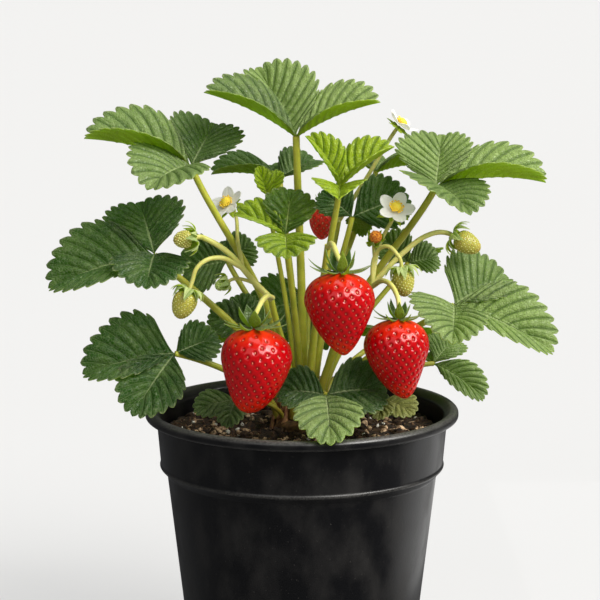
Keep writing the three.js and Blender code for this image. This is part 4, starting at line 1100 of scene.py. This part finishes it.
def aimed(seat, aim):
    """Where a piece drawn hanging down from the origin goes, so that its tip points along aim."""
    turn = Vector((0, 0, -1)).rotation_difference(Vector(aim))
    return Matrix.LocRotScale(Vector(seat), turn, None)


def berry_skin(berry, kind, t, turn):
    """Points of a berry's smooth skin, t from stalk to tip."""
    t = np.clip(t, 0, 1)
    upper = np.sqrt(1 - np.clip(1 - t / SHOULDER, 0, 1) ** 2.4)
    below = np.clip((t - SHOULDER) / (1 - SHOULDER), 0, 1)
    lower = (1 - below ** kind["taper"]) ** berry.get("blunt", kind["blunt"])
    radius = berry["width"] / 2 * np.where(t < SHOULDER, upper, lower)
    radius = radius * (1 + 0.018 * np.sin(2 * turn + berry["length"]) + 0.014 * np.sin(3 * turn + 5 * t))
    shift = berry["bend"] * (t * t - 2 * SHOULDER * t)
    return np.c_[radius * np.cos(turn) + shift, radius * np.sin(turn), -berry["length"] * t]


def seed_frames(berry, kind):
    """Each seed's place, and the ways out of, along and across the skin there."""
    fine = np.linspace(0.03, 0.995, 400)
    ring = np.hypot(*berry_skin({**berry, "bend": 0}, kind, fine, np.zeros(400))[:, :2].T)
    cover = np.cumsum((ring + 0.8) * (0.7 + 0.7 * fine))  # seeds stand closer towards the tip
    t = np.interp((np.arange(kind["seeds"]) + 0.9) / (kind["seeds"] + 0.8) * cover[-1], cover, fine)
    turn = GOLDEN * np.arange(kind["seeds"])
    seats = berry_skin(berry, kind, t, turn)
    along = berry_skin(berry, kind, t + 0.004, turn) - berry_skin(berry, kind, t - 0.004, turn)
    across = berry_skin(berry, kind, t, turn + 0.01) - berry_skin(berry, kind, t, turn - 0.01)
    along /= np.linalg.norm(along, axis=1)[:, None]
    across /= np.linalg.norm(across, axis=1)[:, None]
    return seats, along, across, np.cross(along, across)


print("a ripe berry has", RIPE["seeds"], "seeds,", round(math.degrees(GOLDEN), 1), "degrees apart")


# %% One berry's flesh and seeds
def berry_flesh_piece(name, spec, kind, material, place):
    """A ball drawn out to the berry's outline, with a pit under every seed."""
    segments, rings = kind["mesh"]
    bpy.ops.mesh.primitive_uv_sphere_add(segments=segments, ring_count=rings, radius=1)
    piece = made_of(bpy.context.object, material)
    ball = read(piece)
    t = (1 - ball[:, 2]) / 2
    skin = berry_skin(spec, kind, t, np.arctan2(ball[:, 1], ball[:, 0]))
    depth = np.zeros(len(skin))
    for seat, along, across, _ in zip(*seed_frames(spec, kind)):
        off = skin - seat
        far = (off @ along / kind["oval"][0]) ** 2 + (off @ across / kind["oval"][1]) ** 2
        far += np.sum(off * off, axis=1) * 0.05
        depth = np.maximum(depth, np.exp(-far ** 2))
    write(piece, skin)
    write(piece, skin - (kind["pit"] * (depth - 0.25))[:, None] * read(piece, "normal"))
    tag(piece, "fruit", np.c_[t, np.clip(depth, 0, 1), np.zeros(len(t))])
    piece.data.transform(place)
    piece.name = name + "_flesh"
    return piece


def berry_seeds(name, spec, kind, coat, place, seed):
    """A seed is pointed at one end, and sits a little below the skin, along its own frame."""
    draw = random.Random(seed)
    bpy.ops.mesh.primitive_uv_sphere_add(segments=6, ring_count=5, radius=1)
    pip = made_of(bpy.context.object, coat)
    points = read(pip)
    points[:, 1] *= 1 - 0.35 * points[:, 0]
    write(pip, points)
    frames = []
    for seat, along, across, out in zip(*seed_frames(spec, kind)):
        turn = Matrix(np.c_[along, across, out].tolist()).to_4x4()
        sunk = Vector(seat - out * kind["pit"] * 0.62)
        size = Matrix.Diagonal(Vector(kind["seed"]) * draw.uniform(0.85, 1.12)).to_4x4()
        frames.append(place @ Matrix.Translation(sunk) @ turn @ size)
    shades = [min(1, max(0, draw.gauss(0.4, 0.25))) for _ in frames]
    return copies(pip, frames, name + "_seeds", shades)


print("a ripe berry's ball has", RIPE["mesh"][0], "by", RIPE["mesh"][1], "faces")

# %% Every berry
STUFF = {
    "ripe": (RIPE, RIPE_FLESH, RIPE_SEED), "small": (SMALL, FLESH_PAINTED_LIGHTER, RIPE_SEED),
    "unripe": (UNRIPE, UNRIPE_FLESH, UNRIPE_SEED)}
for seed, (name, spec) in enumerate(BERRIES.items(), 300):
    ripe = name.startswith("berry")
    kind, flesh, coat = STUFF["small" if name == "berry_back" else "ripe" if ripe else "unripe"]
    place = aimed(spec["seat"], spec["aim"])
    for piece, nodes in ((berry_flesh_piece(name, spec, kind, flesh, place), [name]),
                         (berry_seeds(name, spec, kind, coat, place, seed), [])):
        soften(piece)
        hand_in(piece, "ripe_berry" if ripe else "unripe_berry", *nodes)
    print(name, spec["length"], "mm long,", kind["seeds"], "seeds")

# %% [markdown]
# ## Leafy caps
# A fruit's cap has two rings of five or more small pointed leaves. On a ripe berry they are long, stand up
# and curl outwards, round the end of the stalk. On a young fruit they still droop over it, and behind a
# flower they lie flat. One formula makes a single small leaf of the cap, with its own curl, and a loop sets
# the rings.

# %% Cap leaves
# Each ring has its count, the place and height of a leaf's middle and of its tip, and its breadth, in mm
RIPE_CAP = {"boss": 3, "curl": 1.8, "skin": LEAF_TOP,
            "inner": (5, (5.8, 4.4), (8.4, 12), 6.2), "outer": (8, (10, 0.8), (17.5, 4.6), 3.2)}
GREEN_CAP = {"boss": 1.4, "curl": 0.8, "skin": LEAF_CAP,
             "inner": (5, (5.6, 0.5), (7.6, -5), 5.2), "outer": (6, (7.2, 1.6), (11, -3), 3)}
FLOWER_CAP = {"boss": 1.2, "curl": 0.5, "skin": LEAF_CAP,
              "inner": (5, (5, 0.7), (8.5, 1.2), 3.6), "outer": (5, (6, 1.0), (10.5, 1.6), 3)}
BUD_CAP = {"boss": 1.2, "curl": 0.4, "skin": LEAF_CAP,
           "inner": (5, (3.8, -0.2), (4.2, -5), 3.4), "outer": (5, (4.6, 0.6), (6.5, -4.0), 3)}


def cap_leaf(cap, ring, size, turn, curl, shade, seed):
    """One pointed leaf of a cap, drawn round the upright axis with the fruit below 0."""
    draw = random.Random(seed)
    twist = draw.uniform(-0.5, 0.5)
    sway = draw.uniform(-0.12, 0.12)
    _, middle, tip, breadth = cap[ring]
    stops = [0, 0.5, 1]
    radii = [cap["boss"] * 0.5, middle[0] * size, tip[0] * size]
    heights = [0.9, middle[1] * size, tip[1] * size + curl]
    piece, u, v = flat_grid(10, 6)
    radius, height = [np.polyval(np.polyfit(stops, values, 2), u) for values in (radii, heights)]
    broad = breadth * size / 2 * np.sin(np.pi * (0.03 + 0.97 * u) ** 0.85)
    across = v * broad
    fold = 0.4 * np.abs(across) + twist * across * u
    way = turn + sway * u
    x = radius * np.cos(way) - across * np.sin(way)
    y = radius * np.sin(way) + across * np.cos(way)
    write(piece, np.c_[x, y, height + fold])
    off_veins = np.full(len(v), VEIN_PHASE + 0.1)
    tag(piece, "blade", np.c_[off_veins, v, np.full(len(v), shade)])
    made_of(piece, cap["skin"], LEAF_UNDER)
    finish_with(piece, "SOLIDIFY", thickness=0.28, offset=-1, material_offset=1, use_even_offset=False)
    return piece


print("a ripe berry's cap has", RIPE_CAP["inner"][0], "+", RIPE_CAP["outer"][0], "leaves")


# %% Whole caps
def cap_of(holds):
    """Which kind of cap a fruit, flower or bud has, with where it sits and which way it faces."""
    if holds in BERRIES:
        ripe = holds.startswith("berry")
        return {**(RIPE_CAP if ripe else GREEN_CAP), **BERRIES[holds], "shade": 0.24 if ripe else 0.6}
    if holds in HEADS:
        return {**BUD_CAP, **HEADS[holds], "shade": 0.5}
    flower = FLOWERS[holds]
    return {**FLOWER_CAP, **flower, "aim": [-a for a in flower["aim"]], "shade": 0.55}


def leafy_cap(holds, seed):
    """The two rings of a cap, each leaf with its own length, turn, curl and shade."""
    cap = cap_of(holds)
    draw = random.Random(seed)
    size = cap.get("spread", 1)
    made = []
    for half, ring in enumerate(("outer", "inner")):
        count = cap[ring][0]
        for i in range(count):
            turn = 2 * math.pi * (i + half / 2 + draw.uniform(-0.14, 0.14)) / count + 0.33
            long = size * draw.uniform(0.8, 1)
            curl = cap["curl"] * draw.uniform(-0.8, 1)
            shade = cap["shade"] + draw.uniform(-0.1, 0.1) + (0.3 if ring == "outer" else 0)
            made.append(cap_leaf(cap, ring, long, turn, curl, shade, draw.random()))
    piece = joined(made, holds + "_cap")
    piece.data.transform(aimed(cap["seat"], cap["aim"]))
    return piece


print("a ripe cap's outer leaves are", RIPE_CAP["outer"][3], "mm broad")

# %% [markdown]
# ## Flowers
# A strawberry flower has five round white petals, which overlap a little and are cupped, round a yellow
# dome. The dome is a cone of tiny pistils with a ring of about twenty stamens, each a fine thread with a
# yellow anther. A petal is thin and nearly matt and lets light through. One flower has dropped its petals
# and turned brown-orange, and one bud is still shut.

# %% Flower materials
def petal_skin():
    material, tree, shader = start("white_petal", Roughness=0.6, IOR=1.38, Sheen_Weight=0.15)
    place = node(tree, "TexCoord", out="Object")
    streaks = node(tree, "TexNoise", {"Vector": place, "Scale": per_metre(1.6), "Detail": 3})
    colours = {0: streaks, MIX_A: paint("#f6f5f1"), MIX_B: paint("#ffffff")}
    normal = node(tree, "Bump", {"Height": streaks, "Strength": 0.3, "Distance": 0.2 * MM})
    feed(shader, Base_Color=node(tree, "Mix", colours, data_type="RGBA"), Normal=normal)
    let_light_through(shader, 0.42, Color=paint("#fbfbf3"))
    return material


PETAL = petal_skin()  # nearly matt, and bright from behind
PISTIL = speckled("pistil_dome", "#f0cc28", "#fbe650", 0.8, 0.15, 0.6)  # greenish yellow, moist
ANTHER = speckled("pollen_anthers", "#f8c828", "#ffe04c", 0.9, 0.1, 0.8)  # powdery with pollen
SPENT = speckled("spent_flower", "#a8541a", "#e9a02c", 1.1, 0.3, 0.8)  # dried orange-brown
BUD_GREEN = speckled("closed_bud", "#8fae4a", "#cfd98a", 1.5, 0.2, 0.5)  # tight, downy sepals
print("flower materials:", PETAL.name, PISTIL.name, ANTHER.name, SPENT.name, BUD_GREEN.name)

# %% Where each flower faces, and its petals' length
FLOWERS = {
    "flower_right": {"seat": (47.9, -16, 256), "aim": (-0.1, 0.72, -0.68), "petal": 9.6, "cup": 1.6},
    "flower_left": {"seat": (-38.7, 15, 255.3), "aim": (0.51, 0.6, -0.62), "petal": 9.5, "cup": 1.6},
    "flower_top": {"seat": (51.5, 25, 296), "aim": (-0.6, 0.1, -0.78), "petal": 9, "cup": 2.8},
}
HEADS = {
    "old_flower": {"seat": (37.3, -17, 241), "aim": (0.1, -0.85, 0.5), "radius": 3.2},
    "bud": {"seat": (-39, -20, 219), "aim": (-0.9, -0.3, -0.4), "radius": 2.6},
}
PETAL_ROOT = 1.2  # how high over a flower's seat its centre starts, just above the petals' feet
DOME = {"radius": 3.7, "flatness": 0.6, "pistils": 90, "stamens": 20}
PETALS = 5


def petal(size, cup, turn, seed):
    draw = random.Random(seed)
    ripple = draw.uniform(0, 6)
    tilt = draw.uniform(-0.08, 0.08)

    def shape(u, v):
        long = size * (0.14 + 0.88 * u)
        broad = 0.76 * size * np.sqrt(np.clip((0.02 + u) * (1.001 - u), 0, 1)) * (1 - 0.06 * u)
        across = broad * v
        hollow = 0.1 * size * (v * v) * u * 0.6 + 0.02 * size * np.sin(9 * v + ripple) * u * u
        height = PETAL_ROOT / 2 + 0.3 + cup * u ** 2 + hollow + tilt * across
        x = long * np.cos(turn) - across * np.sin(turn)
        y = long * np.sin(turn) + across * np.cos(turn)
        return np.c_[x, y, height]

    piece = made_of(shaped_grid(14, 14, shape), PETAL)
    finish_with(piece, "SOLIDIFY", thickness=0.22, offset=0, use_even_offset=False)
    return piece


print("petals are", [flower["petal"] for flower in FLOWERS.values()], "mm long")


# %% The centre of a flower
def flower_centre(seed):
    """A dome of pistils with a ring of stamens round it."""
    draw = random.Random(seed)
    base = PETAL_ROOT + GAP
    bpy.ops.mesh.primitive_uv_sphere_add(segments=6, ring_count=4, radius=0.36)
    bead = made_of(bpy.context.object, PISTIL)
    seats = []
    for i in range(DOME["pistils"]):
        rise = 1 - (i + 0.5) / DOME["pistils"]
        flat = math.sqrt(1 - rise * rise) * DOME["radius"] * 0.72
        turn = i * GOLDEN
        height = base + DOME["radius"] * DOME["flatness"] * (0.5 + 0.75 * rise)
        seats.append(Matrix.Translation((flat * math.cos(turn), flat * math.sin(turn), height)))
    pistils = copies(bead, seats, "pistils")
    bpy.ops.mesh.primitive_uv_sphere_add(segments=24, ring_count=12, radius=DOME["radius"] * 0.7)
    heart = made_of(bpy.context.object, PISTIL)
    heart.data.transform(Matrix.Translation((0, 0, base + 1.2)) @ Matrix.Diagonal((1, 1, 0.75, 1)))
    made = [heart, pistils]
    for i in range(DOME["stamens"]):
        turn = 2 * math.pi * (i + draw.uniform(-0.2, 0.2)) / DOME["stamens"]
        reach = DOME["radius"] * draw.uniform(0.82, 1.02)
        high = base + draw.uniform(0.9, 2.4)
        way = Vector((math.cos(turn), math.sin(turn), 0))
        end = way * reach + Vector((0, 0, high))
        made.append(made_of(tube([way * 2 + Vector((0, 0, base)), end], (0.14, 0.1), rounds=0), PISTIL))
        bpy.ops.mesh.primitive_uv_sphere_add(segments=8, ring_count=5, radius=1)
        anther = made_of(bpy.context.object, ANTHER)
        lying = Quaternion((0, 0, 1), turn + math.pi / 2)
        anther.data.transform(Matrix.LocRotScale(end, lying, (0.62, 0.4, 0.36)))
        made.append(anther)
    return joined(made, "centre")


print("each centre has", DOME["pistils"], "pistils and", DOME["stamens"], "stamens")

# %% Every flower
for seed, (name, flower) in enumerate(FLOWERS.items(), 500):
    place = aimed(flower["seat"], flower["aim"])
    size, cup = flower["petal"], flower["cup"]
    petals = [petal(size, cup, 2 * math.pi * i / PETALS, 10 * seed + i) for i in range(PETALS)]
    for piece, part, slot, node_end in ((joined(petals, "petals"), "_petals", "petal", ""),
                                        (flower_centre(seed), "_heart", "stamen", "_centre")):
        piece.name = name + part
        piece.data.transform(place)
        soften(piece)
        hand_in(piece, slot, name + node_end)
    print(name, "petals", size, "mm long")


# %% A beaded head, for the spent flower and later the bud
def beaded_head(name, head, bead_size, count, material):
    """A round head covered with small beads, just under its cap."""
    core = head["radius"] * 0.9
    bpy.ops.mesh.primitive_uv_sphere_add(segments=28, ring_count=18, radius=core)
    ball = made_of(bpy.context.object, material)
    bpy.ops.mesh.primitive_uv_sphere_add(segments=6, ring_count=4, radius=bead_size)
    bead = made_of(bpy.context.object, material)
    seats = []
    for i in range(count):
        rise = 1 - 1.8 * (i + 0.5) / count
        flat = math.sqrt(1 - rise * rise)
        way = Vector((flat * math.cos(i * GOLDEN), flat * math.sin(i * GOLDEN), -rise))
        seats.append(Matrix.Translation(way * core))
    piece = joined([ball, copies(bead, seats, "beads")], name)
    piece.data.transform(Matrix.Translation((0, 0, -head["radius"])))
    piece.data.transform(aimed(head["seat"], head["aim"]))
    soften(piece)
    return piece


spent = beaded_head("old_flower_head", HEADS["old_flower"], 0.5, 110, SPENT)
hand_in(spent, "stamen", "old_flower_centre")
print("spent flower head", 2 * HEADS["old_flower"]["radius"], "mm across")

# %% [markdown]
# ## Fruit stalks
# A truss is the branched stalk that fruits hang from. It is smooth where leaf stalks are, thins towards
# each fruit, and bends over under a ripe one's weight. Each branch runs through the same few points as the
# plain model's, so that every fruit still hangs from its own cap.

# %% Every truss
def truss(name):
    first, radius, branches = STALKS[name]
    made = [made_of(stalk_tube(feet[name], first, 0, radius), STALK)]
    for to, thick, via in branches:
        cap = cap_of(to)
        outward = Vector(cap["aim"]).normalized()
        seat = Vector(cap["seat"])
        route = [*via, seat - outward * 4.5, seat - outward * 0.8]
        made.append(made_of(tube(route, (thick, thick * 0.8)), PEDICEL))
    return joined(made, name + "_stalk")


for seed, name in enumerate(STALKS, 700):
    held = [to for to, _, _ in STALKS[name][2]]
    stem = truss(name)
    soften(stem)
    down = bristles(name + "_hairs", stem, 5, 1.0, seed)
    caps = joined([leafy_cap(to, seed + 17 * i) for i, to in enumerate(held)], name + "_caps")
    soften(caps)
    hand_in(stem, "stalk", name)
    hand_in(down, "stalk")
    hand_in(caps, "stalk")
    print(name, "carries", ", ".join(held))
bud = beaded_head("closed_bud", {**HEADS["bud"], "seat": (-39.6, -20.2, 218.7)}, 0.55, 60, BUD_GREEN)
hand_in(bud, "stalk")

# %% [markdown]
# ## The crown
# The crown is a short woody stem, scaly with the scars and papery feet of old leaves. It hardly shows
# between the stalks, but from above it should look grown. It is a lathed lump whose skin is roughened by
# noise.

# %% The crown
crown_outline = [(0, 118), (10, 118), (16.2, 127), (18, 137), (17.5, 141), (16.2, 143.6), (0, 144)]
crown = made_of(revolved(rounded(crown_outline, 2), 48), WOOD)
finish_with(crown, "SUBSURF", levels=1, render_levels=1)
rough = read(crown)
lumps = np.array([noise.noise(Vector(p) / 3.2) for p in rough])
rough[:, :2] *= (1 + 0.06 * np.minimum(lumps, 0.2))[:, None]
write(crown, rough + (CROWN["x"], CROWN["y"], 0))
crown.name = "woody_crown"
soften(crown)
hand_in(crown, "crown", "crown")
print("crown", 2 * CROWN["radius"], "mm across")

# %% [markdown]
# ## Floor, light and camera
# The plant stands on a plain pale floor that runs far behind it, so floor and background are one even tone.
# The floor also glows a little by itself, which keeps the plant's shadow on it pale, as it is in a bright
# room. The main light is a broad window high on the right, a little in front. It could be an area lamp, but
# a sun lights near and far alike, so two soft suns side by side stand for the window's two halves. A faint
# one in front, a little to the left, one from above and a pale sky fill the shade. A white card beside the
# plant shows in reflections only. The camera is a little higher than the plant, a metre away with a long
# lens, and looks slightly down, so that the pot's foot drops out of the picture.

# %% Floor
floor_material, _, _ = start("pale_studio_floor", Base_Color=paint("#868686"), Roughness=0.9,
                             Emission_Color=paint("#fffffe"), Emission_Strength=0.48)  # matt, so no glare


def laid_sheet(name, place, size):
    """A flat square of the floor's paper."""
    bpy.ops.mesh.primitive_plane_add(size=size, location=place)
    sheet = made_of(bpy.context.object, floor_material)
    sheet.name = name
    sheet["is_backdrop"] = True
    return sheet


floor = laid_sheet("floor", (0, 0, -0.0003), 600)
floor.visible_glossy = False
card = laid_sheet("white_card_beside", (0.36, 0.2, 0), 0.44)
card.visible_camera = card.visible_diffuse = card.visible_shadow = False
print("floor 600 m square, so its far edge is lost above the picture")

# %% Light
def soft_sun(name, way, strength, width, colour):
    """An even, far-off soft light that comes from way, as wide as so many degrees of sky."""
    light = bpy.data.lights.new(name, "SUN")
    light.energy = strength
    light.angle = math.radians(width)
    light.color = paint(colour)[:3]
    lamp = bpy.data.objects.new(name, light)
    bpy.context.collection.objects.link(lamp)
    lamp.rotation_euler = Vector(way).to_track_quat("Z", "Y").to_euler()


WINDOW = {"turn": 56, "rise": 41, "half_gap": 17, "pane": 34, "strength": 2.95}
for side, swing in (("left", -WINDOW["half_gap"]), ("right", WINDOW["half_gap"])):
    turn, rise = math.radians(WINDOW["turn"] + swing), math.radians(WINDOW["rise"])
    soft_sun("window_" + side, (math.sin(turn), -math.cos(turn), math.tan(rise)), WINDOW["strength"],
             WINDOW["pane"], "#fffdf9")
soft_sun("far_window", (-0.35, -0.9, 0.7), 0.5, 44, "#ffffff")
soft_sun("top_light", (0.15, 0.25, 1.0), 0.8, 40, "#ffffff")
scene = bpy.context.scene
scene.world = bpy.data.worlds.new("pale_room")
scene.world.use_nodes = True
sky = scene.world.node_tree.nodes["Background"].inputs
sky["Color"].default_value = paint("#f2f3f5")
sky["Strength"].default_value = 0.11
scene.view_settings.view_transform = "Standard"
scene.view_settings.look = "None"

# %% Camera
EYE = {"place": (-1, -1000, 370), "down": 9.27, "focal_px": 1936, "picture_px": 600, "sensor": 36}
lens = bpy.data.cameras.new("long_lens")
lens.sensor_width = EYE["sensor"]
lens.lens = EYE["focal_px"] / EYE["picture_px"] * EYE["sensor"]
lens.clip_end = 1000  # metres, past the floor's far edge
camera = bpy.data.objects.new("camera", lens)
bpy.context.collection.objects.link(camera)
camera.location = Vector(EYE["place"]) * MM
camera.rotation_euler = (math.radians(90 - EYE["down"]), 0, 0)
bpy.context.scene.camera = camera
print("lens", round(lens.lens, 1), "mm")

# %% [markdown]
# ## The last check
# The finer plant should fill the same box as the plain model, within a few millimetres, and no piece should
# be so dense that it slows a program that opens it. The two boxes are written down side by side.

# %% The last check
fine_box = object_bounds()
for axis, *ends in zip("xyz", *plain_box, *fine_box):
    print(axis, [round(end / MM, 1) for end in ends])
print(len(pieces), "pieces,", sum(count for _, count in pieces), "triangles")
print("the densest:", sorted(pieces, key=lambda p: -p[1])[:6])
